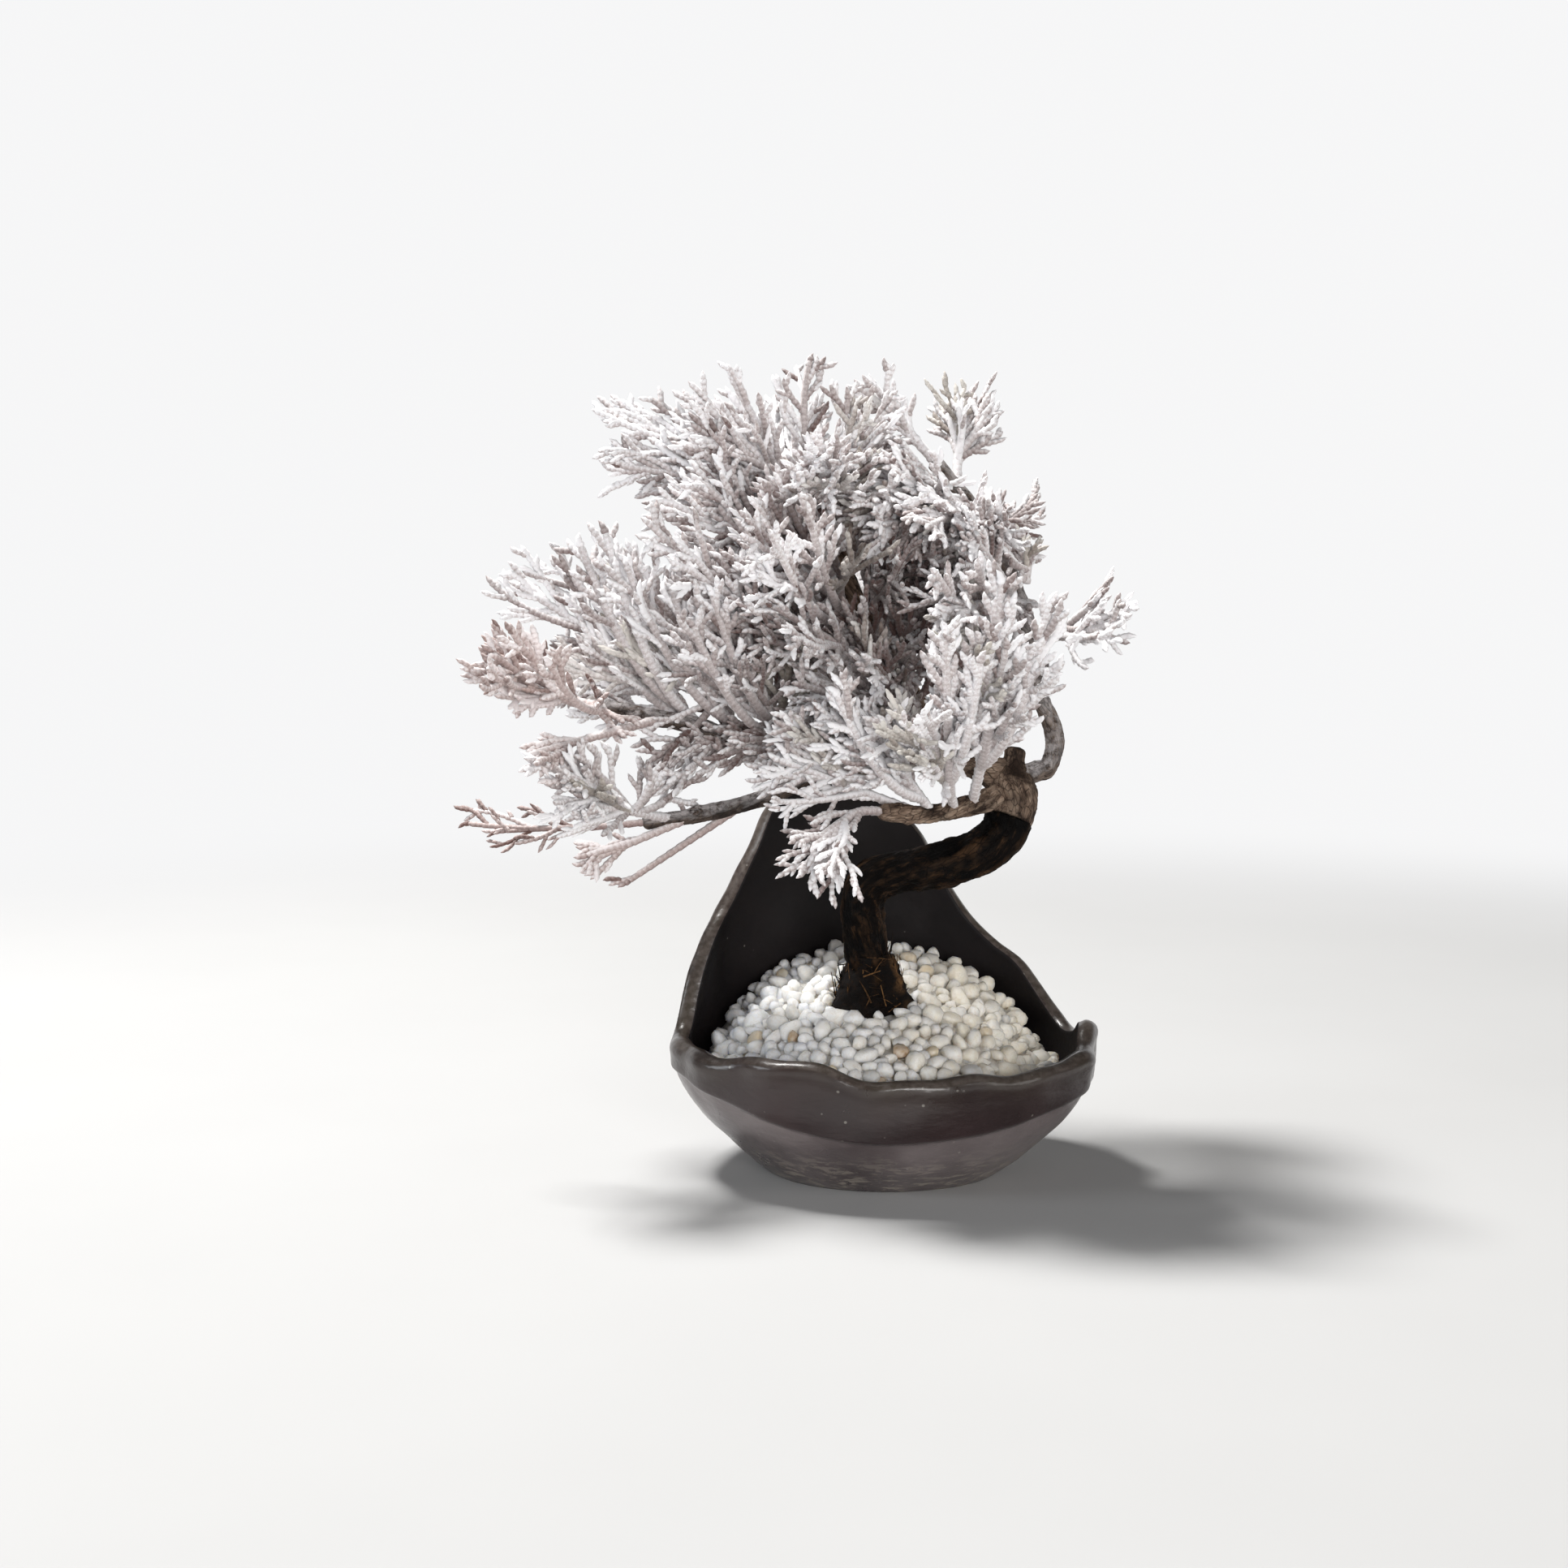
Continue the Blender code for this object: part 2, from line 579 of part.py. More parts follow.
def root_clump(trunk, gravel):
    """A collar of roots and peat round the trunk's foot, sunk in a pocket in the gravel."""
    axis = trunk.path[0][0]
    top = CLUMP_BOTTOM + CLUMP_HEIGHT
    clump = add_object("root_clump", loft("root_clump", clump_rings(axis, CLUMP_BOTTOM, top, 0)),
                       PEAT)
    pocket = loft("pocket", clump_rings(axis, CLUMP_BOTTOM - GAP, top, WALL_GAP))
    cut(gravel, add_object("pocket", pocket, None, CUTTERS))
    seat_path = [(point, radius + GAP) for point, radius in trunk.path
                 if point.z < top + SEAT_OVERRUN]
    seat_path[0] = (axis - Vector((0, 0, GAP)), TRUNK_FOOT_RADIUS + GAP)
    seat = curve_tube("trunk_seat", seat_path, None, CUTTERS, TRUNK_ROUNDNESS)
    cut(clump, seat)
    return clump


def anchor_rod(trunk, clump, gravel, foam):
    """A steel rod from the foam, through gravel and clump, into the trunk's foot."""
    foot = trunk.path[0][0]
    low = Vector((foot.x, foot.y, FOAM_TOP - ROD_IN_FOAM))
    high = Vector((foot.x, foot.y, TRUNK_FOOT_HEIGHT + ROD_IN_TRUNK))
    add_object("anchor_rod", rod_mesh("anchor_rod", low, high, ROD_RADIUS, ROD_SIDES), STEEL)
    up = Vector((0, 0, GAP))
    bore(foam, low - up, high, ROD_RADIUS, ROD_SIDES)
    bore(gravel, low, high, ROD_RADIUS, ROD_SIDES)
    bore(clump, low, high, ROD_RADIUS, ROD_SIDES)
    bore(trunk.object, low, high + up, ROD_RADIUS, ROD_SIDES)


# Sprays

def section(point, along, half_width, half_thickness):
    """A ring across a spray, wide along its flat."""
    side = along.cross(BLADE_FACING).normalized()
    through = along.cross(side).normalized()
    ring = []
    for i in range(SECTION_SIDES):
        turn = 2 * math.pi * i / SECTION_SIDES
        ring.append(point + side * half_width * math.cos(turn)
                    + through * half_thickness * math.sin(turn))
    return ring


def spray(name, wood, place, tip, width, arch):
    """A fan of foliage as one leaf-shaped blade on a round stem, pegged into its limb."""
    point, _, _ = wood.at(place)
    end = tree_point(*tip)
    scale = TREE_RISE / DRAWN_RISE
    aim = (point + end) / 2 + Vector((0, 0, arch * scale))
    peg = Peg(wood, place, aim, STEM_RADIUS, STEM_RADIUS, STEM_DEPTH, END_STEM_DEPTH)
    bend = peg.shoulder + peg.direction * (end - peg.shoulder).length / 2

    def place_on(share):
        """Point and direction on the quadratic arch from the shoulder to the tip."""
        rest = 1 - share
        here = peg.shoulder * rest * rest + bend * 2 * rest * share + end * share * share
        along = (bend - peg.shoulder) * rest + (end - bend) * share
        return here, along.normalized()

    rings = [section(peg.inner, peg.direction, STEM_RADIUS, STEM_RADIUS),
             section(peg.shoulder, peg.direction, STEM_RADIUS, STEM_RADIUS)]
    for length, across, thick in ((BLADE_START, None, None), *BLADE_OUTLINE):
        here, along = place_on(length)
        half_width = STEM_RADIUS if across is None else across * width * scale / 2
        half_thick = STEM_RADIUS if thick is None else thick * BLADE_THICKNESS / 2
        rings.append(section(here, along, half_width, half_thick))
    return add_object(name, loft(name, rings), FROST, origin=peg.inner)


def main():
    ceramic_pot()
    foam = foam_block()
    gravel = gravel_bed()
    wood = {"trunk": Wood("trunk", trunk_path(), BARK, TRUNK_ROUNDNESS)}
    seam, along, _ = wood["trunk"].at(1.0)
    wood["crown_burl"] = Wood("crown_burl", crown_path(seam, along), PALE_WOOD,
                              TRUNK_ROUNDNESS)
    crown_dowel(wood["trunk"], wood["crown_burl"])
    clump = root_clump(wood["trunk"], gravel)
    anchor_rod(wood["trunk"], clump, gravel, foam)
    for name, parent, *shape in LIMBS:
        wood[name] = limb(name, wood[parent], *shape)
    for name, parent, *shape in SPRAYS:
        spray(name, wood[parent], *shape)


main()
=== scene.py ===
"""Looks of the artificial tabletop tree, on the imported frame: metres, +Z up, low rim towards -Y.

Shapes are worked out in millimetres, and scaled by MM when they become meshes.
"""

import json
import math

import bmesh
import bpy
import numpy as np
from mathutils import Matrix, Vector, kdtree, noise


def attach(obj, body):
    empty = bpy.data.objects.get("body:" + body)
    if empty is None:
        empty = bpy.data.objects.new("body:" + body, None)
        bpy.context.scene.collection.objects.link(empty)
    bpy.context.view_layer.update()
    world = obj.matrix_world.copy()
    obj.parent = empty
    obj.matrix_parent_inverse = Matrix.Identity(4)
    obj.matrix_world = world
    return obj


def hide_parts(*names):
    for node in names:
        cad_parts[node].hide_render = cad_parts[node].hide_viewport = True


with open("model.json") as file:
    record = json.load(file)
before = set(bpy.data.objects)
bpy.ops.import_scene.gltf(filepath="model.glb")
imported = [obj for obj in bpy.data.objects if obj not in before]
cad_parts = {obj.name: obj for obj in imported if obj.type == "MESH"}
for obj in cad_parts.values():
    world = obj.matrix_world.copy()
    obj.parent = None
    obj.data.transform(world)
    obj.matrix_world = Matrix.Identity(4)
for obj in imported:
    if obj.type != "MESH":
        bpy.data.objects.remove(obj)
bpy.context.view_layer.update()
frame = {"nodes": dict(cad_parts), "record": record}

MM = 0.001
ROOT = "planter"
NODES = frame["nodes"]
MOTION = frame["record"]["behaviour"]
BODY_OF = {node: body for body, nodes in MOTION["bodies"].items() for node in nodes}
SLOT_OF = {part["node"]: part["material_slot"] for part in frame["record"]["subparts"]}
SPRAYS = sorted(node for node in SLOT_OF if node.startswith("spray_"))


def seeded(name):
    """A random source of its own for each piece, the same in every run."""
    return np.random.default_rng(sum((i + 1) * ord(c) for i, c in enumerate(name)))


# Camera and lights

LENS = 55.5
SENSOR = 36
CAMERA_PLACE = (-0.031, -0.741, 0.1985)
CAMERA_TARGET = (-0.031, 0.0, 0.1205)
LIGHTS = (            # name, place, target, size, power, colour
    ("key", (-0.62, 0.28, 1.70), (0.0, 0.0, 0.10), 0.42, 52.0, (1.0, 0.99, 0.97)),
    ("fill", (0.24, -1.25, 0.22), (0.0, 0.0, 0.19), 0.6, 8.8, (1.0, 0.985, 0.97)),
    ("bounce", (1.05, -0.55, 0.42), (0.0, 0.0, 0.17), 0.5, 2.0, (1.0, 0.975, 0.94)),
    ("window", (-1.25, -0.45, 0.50), (0.0, 0.0, 0.12), 0.5, 4.0, (0.90, 0.95, 1.0)),
)


def linked(name, data):
    obj = bpy.data.objects.new(name, data)
    bpy.context.scene.collection.objects.link(obj)
    return obj


def aimed(name, data, place, target):
    """A camera or light that looks from a place to a target."""
    obj = linked(name, data)
    obj.location = place
    obj.rotation_euler = (Vector(target) - Vector(place)).to_track_quat("-Z", "Y").to_euler()
    return obj


def camera():
    """Placed like the photo's camera: in front, and a little above the tree's middle."""
    data = bpy.data.cameras.new("camera")
    data.lens = LENS
    data.sensor_width = SENSOR
    data.clip_start = 0.02
    bpy.context.scene.camera = aimed("camera", data, CAMERA_PLACE, CAMERA_TARGET)


def lights():
    for name, place, target, size, power, colour in LIGHTS:
        data = bpy.data.lights.new(name, "AREA")
        data.shape = "DISK"
        data.size = size
        data.energy = power
        data.color = colour
        aimed(name, data, place, target)


# Node materials

class Nodes:
    """A short way to write node trees: every call adds a node and gives its first output."""

    def __init__(self, name):
        self.material = bpy.data.materials.new(name)
        self.material.use_nodes = True
        self.tree = self.material.node_tree
        self.shader = self.tree.nodes["Principled BSDF"]

    def put(self, socket, value):
        if isinstance(value, bpy.types.NodeSocket):
            self.tree.links.new(value, socket)
        elif isinstance(value, (tuple, list)) and len(value) == 3 and socket.type == "RGBA":
            socket.default_value = (*value, 1.0)
        else:
            socket.default_value = value

    def node(self, kind, inputs=None, **settings):
        made = self.tree.nodes.new("ShaderNode" + kind)
        for key, value in settings.items():
            setattr(made, key, value)
        for key, value in (inputs or {}).items():
            self.put(made.inputs[key], value)
        return made

    def place(self):
        return self.node("TexCoord").outputs["Object"]

    def stretched(self, scale, turn=(0, 0, 0)):
        made = self.node("Mapping", {"Vector": self.place(), "Scale": scale, "Rotation": turn})
        return made.outputs["Vector"]

    def noise(self, scale, detail=4.0, rough=0.55, vector=None, distortion=0.0):
        made = self.node("TexNoise", {"Vector": vector or self.place(), "Scale": scale,
                                      "Detail": detail, "Roughness": rough,
                                      "Distortion": distortion})
        return made.outputs["Fac"]

    def cells(self, scale, vector=None, feature="F1"):
        made = self.node("TexVoronoi", {"Vector": vector or self.place(), "Scale": scale},
                         feature=feature)
        return made.outputs["Distance"]

    def ramp(self, value, *stops):
        made = self.node("ValToRGB", {"Fac": value})
        marks = made.color_ramp.elements
        while len(marks) < len(stops):
            marks.new(0.5)
        for mark, (place, colour) in zip(marks, stops):
            mark.position = place
            mark.color = (*colour, 1.0) if isinstance(colour, tuple) else (colour,) * 3 + (1.0,)
        return made.outputs["Color"]

    def mix(self, share, first, second, blend="MIX"):
        made = self.node("Mix", data_type="RGBA", blend_type=blend)
        self.put(made.inputs[0], share)
        self.put(made.inputs[6], first)
        self.put(made.inputs[7], second)
        return made.outputs[2]

    def math(self, operation, first, second=0.0, clamp=False):
        made = self.node("Math", operation=operation, use_clamp=clamp)
        self.put(made.inputs[0], first)
        self.put(made.inputs[1], second)
        return made.outputs[0]

    def times(self, first, second):
        return self.math("MULTIPLY", first, second)

    def plus(self, first, second):
        return self.math("ADD", first, second, True)

    def span(self, value, low, high, to_low=0.0, to_high=1.0):
        made = self.node("MapRange", {"Value": value, "From Min": low, "From Max": high,
                                      "To Min": to_low, "To Max": to_high})
        return made.outputs["Result"]

    def blotch(self, scale, detail, low, high, to_low=0.0, to_high=1.0):
        """Noise with its contrast stretched, for patches with soft or hard edges."""
        return self.span(self.noise(scale, detail), low, high, to_low, to_high)

    def attribute(self, name, output="Color"):
        return self.node("Attribute", attribute_name=name).outputs[output]

    def height(self):
        return self.node("SeparateXYZ", {"Vector": self.place()}).outputs["Z"]

    def upward(self):
        made = self.node("SeparateXYZ", {"Vector": self.node("NewGeometry").outputs["Normal"]})
        return made.outputs["Z"]

    def bump(self, height, distance, strength=1.0, normal=None):
        made = self.node("Bump", {"Height": height, "Distance": distance, "Strength": strength})
        if normal is not None:
            self.put(made.inputs["Normal"], normal)
        return made.outputs["Normal"]

    def finish(self, colour, roughness, normal=None, **uniform):
        self.put(self.shader.inputs["Base Color"], colour)
        self.put(self.shader.inputs["Roughness"], roughness)
        if normal is not None:
            self.put(self.shader.inputs["Normal"], normal)
        for name, value in uniform.items():
            self.put(self.shader.inputs[name.replace("_", " ")], value)
        return self.material


def glaze_material():
    """Dark mauve-brown glaze: olive at the rim, paler in patches on the lip as a painted highlight, paler
    and dusty below the seam.
    """
    n = Nodes("hand_glaze")
    broad = n.noise(38, 3)
    fine = n.noise(420, 5, 0.6)
    band = n.attribute("band", "Fac")
    rim = n.attribute("rim", "Fac")
    upper = n.ramp(broad, (0.3, (0.013, 0.0056, 0.0062)), (0.7, (0.029, 0.0145, 0.0150)))
    lower = n.ramp(broad, (0.3, (0.120, 0.098, 0.099)), (0.7, (0.190, 0.161, 0.160)))
    body = n.mix(n.times(band, n.blotch(30, 3, 0.35, 0.62, 0.45, 1.0)), upper, lower)
    olive_share = n.times(rim, n.blotch(60, 3, 0.35, 0.65, 0.35, 1.0))
    body = n.mix(olive_share, body, (0.052, 0.041, 0.029))
    # Painted highlight: a paler, mottled colour along the lip of the wall.
    lip_highlight = n.times(n.attribute("lip", "Fac"), n.span(fine, 0.4, 0.62, 0.10, 0.7))
    body = n.mix(lip_highlight, body, (0.12, 0.10, 0.088))
    speck_mask = n.span(n.cells(300), 0.10, 0.16, 1.0, 0.0)
    speck_mask = n.times(speck_mask, n.blotch(90, 2, 0.56, 0.62))
    body = n.mix(n.times(speck_mask, 0.55), body, (0.30, 0.28, 0.25))
    scratch = n.noise(150, 6, 0.7, n.stretched((1.0, 1.0, 4.0)), 0.6)
    near_foot = n.span(n.height(), 0.002, 0.016, 1.0, 0.0)
    dust = n.times(n.span(scratch, 0.51, 0.58), near_foot)
    body = n.mix(n.times(dust, 0.8), body, (0.36, 0.32, 0.27))
    rough = n.plus(n.blotch(75, 4, 0.3, 0.7, 0.26, 0.42), n.times(dust, 0.3))
    ripple = n.noise(120, 3, 0.5, n.stretched((1.0, 1.0, 2.2)))
    normal = n.bump(ripple, 0.0009, 0.55)
    normal = n.bump(fine, 0.00012, 0.5, normal)
    return n.finish(body, rough, normal, Coat_Weight=0.22, Coat_Roughness=0.16)


def hood_shade_glaze_material():
    """The dry glaze inside the hood, painted near-black as the hood's shade, with a few dust specks."""
    n = Nodes("hood_painted_shade_glaze")
    broad = n.noise(45, 4)
    # Near-black colour: painted shade inside the hood.
    body = n.ramp(broad, (0.3, (0.0045, 0.0035, 0.004)), (0.7, (0.012, 0.009, 0.0095)))
    speck = n.times(n.span(n.cells(260), 0.06, 0.11, 1.0, 0.0), n.blotch(80, 2, 0.58, 0.64))
    body = n.mix(n.times(speck, 0.5), body, (0.25, 0.23, 0.21))
    normal = n.bump(n.noise(130, 4), 0.0008, 0.5)
    return n.finish(body, n.span(broad, 0.3, 0.7, 0.5, 0.66), normal, Specular_IOR_Level=0.22)


def quartz_material():
    """Milky quartz chips: each grain has its tint, which carries a painted light from left to right, with
    clouds, veins and glassy faces.
    """
    n = Nodes("milky_quartz")
    tint = n.attribute("tint")
    cloud = n.noise(420, 4, 0.6)
    body = n.mix(n.span(cloud, 0.35, 0.7, 0.0, 0.5), tint, (0.93, 0.92, 0.90))
    swirl = n.noise(260, 5, 0.65, None, 1.2)
    vein = n.times(n.span(swirl, 0.47, 0.5), n.span(swirl, 0.5, 0.53, 1.0, 0.0))
    body = n.mix(n.times(vein, 0.35), body, (0.62, 0.52, 0.40))
    rough = n.blotch(700, 3, 0.3, 0.7, 0.34, 0.62)
    normal = n.bump(n.noise(900, 4, 0.6), 0.00018, 0.6)
    return n.finish(body, rough, normal, Subsurface_Weight=0.6, Subsurface_Scale=0.004,
                    Subsurface_Radius=(1.0, 0.9, 0.75), IOR=1.54)


def bark_material(name, dark, brown, light, dusting):
    """Weathered bark: long grain, black patches, brown ridges and frost on the upper side."""
    n = Nodes(name)
    grain = n.attribute("grain")
    fibre = n.noise(1.0, 6, 0.65, grain, 0.4)
    patch = n.noise(95, 4, 0.6)
    body = n.ramp(fibre, (0.32, dark), (0.52, brown), (0.72, light))
    body = n.mix(n.span(patch, 0.42, 0.60), body, dark)
    ridge = n.attribute("ridge", "Fac")
    body = n.mix(n.times(n.span(ridge, 0.55, 1.0), 0.55), body, light)
    crack = n.span(n.cells(1.6, grain, "DISTANCE_TO_EDGE"), 0.0, 0.07, 1.0, 0.0)
    body = n.mix(n.times(crack, 0.7), body, (0.006, 0.005, 0.005))
    if dusting > 0:
        dust = n.times(n.span(n.upward(), -0.3, 0.8), n.span(n.noise(300, 5, 0.7), 0.38, 0.55))
        body = n.mix(n.times(dust, dusting), body, (0.56, 0.53, 0.53))
    rough = n.blotch(180, 4, 0.3, 0.7, 0.55, 0.85)
    normal = n.bump(fibre, 0.0008, 0.7)
    normal = n.bump(crack, -0.0006, 0.6, normal)
    normal = n.bump(n.noise(1500, 3), 0.00012, 0.5, normal)
    return n.finish(body, rough, normal, Specular_IOR_Level=0.08 + 0.1 * dusting)


def foliage_material(name, shade, middle, bright, odd):
    """Flocked scale leaves: frost on the tops of the scales, brown-mauve where it is worn off; the frost
    value also holds painted highlight and painted shade.
    """
    n = Nodes(name)
    frost_and_painted_light, own_tint = n.node("SeparateColor", {"Color": n.attribute("frost_and_painted_light")}).outputs[:2]
    flock = n.noise(1700, 3, 0.65)
    level = n.plus(frost_and_painted_light, n.span(flock, 0.3, 0.7, -0.12, 0.12))
    between = tuple(0.5 * (a + b) for a, b in zip(shade, middle))
    odd_shade = tuple(0.25 * c for c in odd)
    body = n.ramp(level, (0.0, shade), (0.34, between), (0.55, middle), (0.86, bright))
    body = n.mix(n.times(own_tint, 0.8), body, n.mix(level, odd_shade, odd))
    rough = n.span(flock, 0.3, 0.7, 0.72, 0.95)
    normal = n.bump(flock, 0.00016, 0.5)
    return n.finish(body, rough, normal, Sheen_Weight=0.25, Sheen_Roughness=0.5)


def peat_material():
    """Dark peat, with orange-brown fibres where the warm value is high; on the ball it leans to the
    front-right side as painted light.
    """
    n = Nodes("root_peat_fibre")
    clod = n.noise(420, 6, 0.7)
    body = n.ramp(clod, (0.35, (0.0015, 0.0010, 0.0010)), (0.56, (0.006, 0.0035, 0.0025)),
                  (0.74, (0.024, 0.012, 0.006)))
    warm = n.ramp(n.noise(900, 4), (0.35, (0.09, 0.04, 0.015)), (0.65, (0.36, 0.19, 0.075)))
    body = n.mix(n.attribute("warm", "Fac"), body, warm)
    normal = n.bump(clod, 0.0014, 0.8)
    return n.finish(body, n.span(clod, 0.3, 0.7, 0.75, 1.0), normal, Specular_IOR_Level=0.2)


def plain_material(name, first, second, scale, rough, metallic=0.0, stretch=(1, 1, 1), depth=0.0002):
    """A hidden piece's own material: two colours, mottled or drawn along its length."""
    n = Nodes(name)
    grain = n.noise(scale, 5, 0.6, n.stretched(stretch))
    body = n.ramp(grain, (0.35, first), (0.65, second))
    normal = n.bump(grain, depth, 0.6)
    return n.finish(body, n.span(grain, 0.3, 0.7, rough - 0.08, rough + 0.08), normal,
                    Metallic=metallic)


# Meshes from arrays

def mesh_object(name, points, quads, triangles, material, attributes=()):
    """An object from point, quad and triangle arrays, with (name, kind, values) attributes."""
    mesh = bpy.data.meshes.new(name)
    quads = np.asarray(quads, np.int32).reshape(-1, 4)
    triangles = np.asarray(triangles, np.int32).reshape(-1, 3)
    corners = np.concatenate([quads.ravel(), triangles.ravel()])
    starts = np.concatenate([np.arange(len(quads)) * 4, len(quads) * 4 + np.arange(len(triangles)) * 3])
    mesh.vertices.add(len(points))
    mesh.vertices.foreach_set("co", np.asarray(points, np.float32).ravel())
    mesh.loops.add(len(corners))
    mesh.loops.foreach_set("vertex_index", corners.astype(np.int32))
    mesh.polygons.add(len(starts))
    mesh.polygons.foreach_set("loop_start", starts.astype(np.int32))
    mesh.polygons.foreach_set("use_smooth", np.ones(len(starts), bool))
    mesh.update(calc_edges=True)
    for key, kind, values in attributes:
        made = mesh.attributes.new(key, kind, "POINT")
        field = {"FLOAT": "value", "FLOAT_COLOR": "color", "FLOAT_VECTOR": "vector"}[kind]
        made.data.foreach_set(field, np.asarray(values, np.float32).ravel())
    mesh.materials.append(material)
    return linked(name, mesh)


def ring_quads(first, rows, sides):
    """Quads between consecutive closed rings of a grid of points, outward for a tube."""
    row = np.arange(rows - 1)[:, None] * sides + first
    here = np.arange(sides)[None, :]
    after = (here + 1) % sides
    return np.stack([row + here, row + after, row + sides + after, row + sides + here],
                    axis=2).reshape(-1, 4)


def fan(ring_first, sides, centre, outward=True):
    here = ring_first + np.arange(sides)
    after = ring_first + (np.arange(sides) + 1) % sides
    middle = np.full(sides, centre)
    return np.stack([here, after, middle] if outward else [after, here, middle], axis=1)


def closed_tube(first, rows, sides):
    """Quads of a tube of rings, and triangles to the two points after them that close its ends."""
    end = first + rows * sides
    caps = [fan(first, sides, end, False), fan(end - sides, sides, end + 1, True)]
    return ring_quads(first, rows, sides), np.concatenate(caps)


def outward_faces(obj):
    shape = bmesh.new()
    shape.from_mesh(obj.data)
    bmesh.ops.recalc_face_normals(shape, faces=shape.faces)
    shape.to_mesh(obj.data)
    shape.free()


def stands_for(obj, node):
    """Puts a visible piece in a CAD node's place, on its body."""
    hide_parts(node)
    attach(obj, BODY_OF[node])


def noise_at(points, scale, seed=0.0):
    """Smooth noise from -1 to 1 at each point."""
    shift = Vector((seed, 2 * seed, -seed))
    return np.array([noise.noise(Vector(p) * scale + shift) for p in points])


# Curves, as in the CAD model

def catmull_rom(a, b, c, d, t):
    return 0.5 * (2 * b + (c - a) * t + (2 * a - 5 * b + 4 * c - d) * t * t
                  + (3 * b - a - 3 * c + d) * t * t * t)


def smooth_points(points, steps):
    points = np.asarray(points, float)
    padded = np.vstack([2 * points[0] - points[1], points, 2 * points[-1] - points[-2]])
    curve = [catmull_rom(*padded[i - 1:i + 3], k / steps)
             for i in range(1, len(padded) - 2) for k in range(steps)]
    return np.array(curve + [points[-1]])


def lengths_of(points):
    steps = np.linalg.norm(np.diff(points, axis=0), axis=1)
    return np.concatenate([[0.0], np.cumsum(steps)])


def interpolated(vectors, along, wanted):
    """Vectors known at some lengths along a line, at the wanted lengths."""
    return np.stack([np.interp(wanted, along, vectors[:, k]) for k in range(3)], axis=1)


def resampled(points, values, spacing):
    """Points at even spacing along a line, with the values that go with them."""
    along = lengths_of(points)
    count = max(3, int(round(along[-1] / spacing)) + 1)
    wanted = np.linspace(0, along[-1], count)
    return interpolated(points, along, wanted), np.interp(wanted, along, values)


def unit(vectors):
    return vectors / np.maximum(np.linalg.norm(vectors, axis=-1, keepdims=True), 1e-12)


def frames_along(line, start_side):
    """Directions and sides along a line, carried on without twist."""
    ahead = unit(np.gradient(line, axis=0))
    sides = []
    side = np.asarray(start_side, float)
    for direction in ahead:
        side = side - direction * (side @ direction)
        side = side / np.linalg.norm(side)
        sides.append(side)
    sides = np.array(sides)
    return ahead, sides, np.cross(ahead, sides)


# Pot

RIM_HALF_WIDTH = 65.0
RIM_HALF_DEPTH = 54.0
FOOT_HALF_WIDTH = 35.5
BULGE_HEIGHT = 41.0
POT_WALL = 4.5
WALL_LEAN = 0.18
BOWL_FULLNESS = 0.93
RIM_ROUNDING = 1.4
LIP_RISE = 2.0
BELLY = 1.5           # how far the bowl swells past the CAD skin
LAP_DROP = 1.25       # how far the upper slab stands out where it laps over the bowl
RIM_ROLL = 0.85
POT_COLUMNS = 300
OUTER_ROWS, LIP_ROWS, INNER_ROWS = 96, 10, 80
ROW_CROWDING = 0.9

# Heights in millimetres at each angle in degrees
RIM_HEIGHTS = (
    (0, 110.5), (15, 100.5), (22, 88), (30, 74.5), (40, 65.5), (50, 58), (60, 48), (70, 41.5),
    (78, 42), (86, 46), (94, 45.5), (105, 42), (120, 40.5), (140, 39.5), (165, 39.5), (185, 40),
    (200, 43), (222, 43.5), (240, 42), (258, 42.5), (268, 42.5), (275, 45), (279, 52),
    (283, 60.5), (290, 72.5), (300, 82.5), (308, 95), (314, 108.5), (322, 116.5), (334, 120),
    (345, 117.5),
)
# Where the upper slab laps over the lower bowl
SEAM_HEIGHTS = (
    (0, 27), (45, 30), (90, 29), (118, 27), (143, 22.6), (164, 20.6), (184, 19.5), (207, 23),
    (232, 29.5), (255, 33), (290, 31), (330, 26),
)


def closed_curve_value(table, angle):
    """A smooth value at this angle, from (angle, value) pairs round a circle."""
    count = len(table)
    for i in range(count):
        here, value = table[i]
        after, next_value = table[(i + 1) % count]
        span = (after - here) % 360
        if (angle - here) % 360 < span:
            break
    before, last_value = table[i - 1]
    beyond, beyond_value = table[(i + 2) % count]
    slope_in = (next_value - last_value) / ((after - before) % 360)
    slope_out = (beyond_value - value) / ((beyond - here) % 360)
    t = ((angle - here) % 360) / span
    return ((2 * t ** 3 - 3 * t * t + 1) * value + (t ** 3 - 2 * t * t + t) * slope_in * span
            + (3 * t * t - 2 * t ** 3) * next_value + (t ** 3 - t * t) * slope_out * span)


def outer_half_width(height):
    height = np.maximum(np.asarray(height, float), 0.0)
    low = np.sin(np.pi / 2 * np.minimum(height, BULGE_HEIGHT) / BULGE_HEIGHT) ** BOWL_FULLNESS
    above = np.maximum(height - BULGE_HEIGHT, 0.0)
    return (FOOT_HALF_WIDTH + (RIM_HALF_WIDTH - FOOT_HALF_WIDTH) * low
            - WALL_LEAN * above ** 2 / (above + RIM_ROUNDING))


def pot_points(turn, height, inset):
    """Points in millimetres at these angles, heights and depths below the outside."""
    step = 0.5
    slope = (outer_half_width(height + step) - outer_half_width(height - step)) / (2 * step)
    share = RIM_HALF_DEPTH / RIM_HALF_WIDTH
    half_width = outer_half_width(height) - inset * np.hypot(1, slope)
    half_depth = outer_half_width(height) * share - inset * np.hypot(1, slope * share)
    return np.stack([half_width * np.sin(turn), half_depth * np.cos(turn),
                     np.broadcast_to(height, np.shape(half_width))], axis=-1)


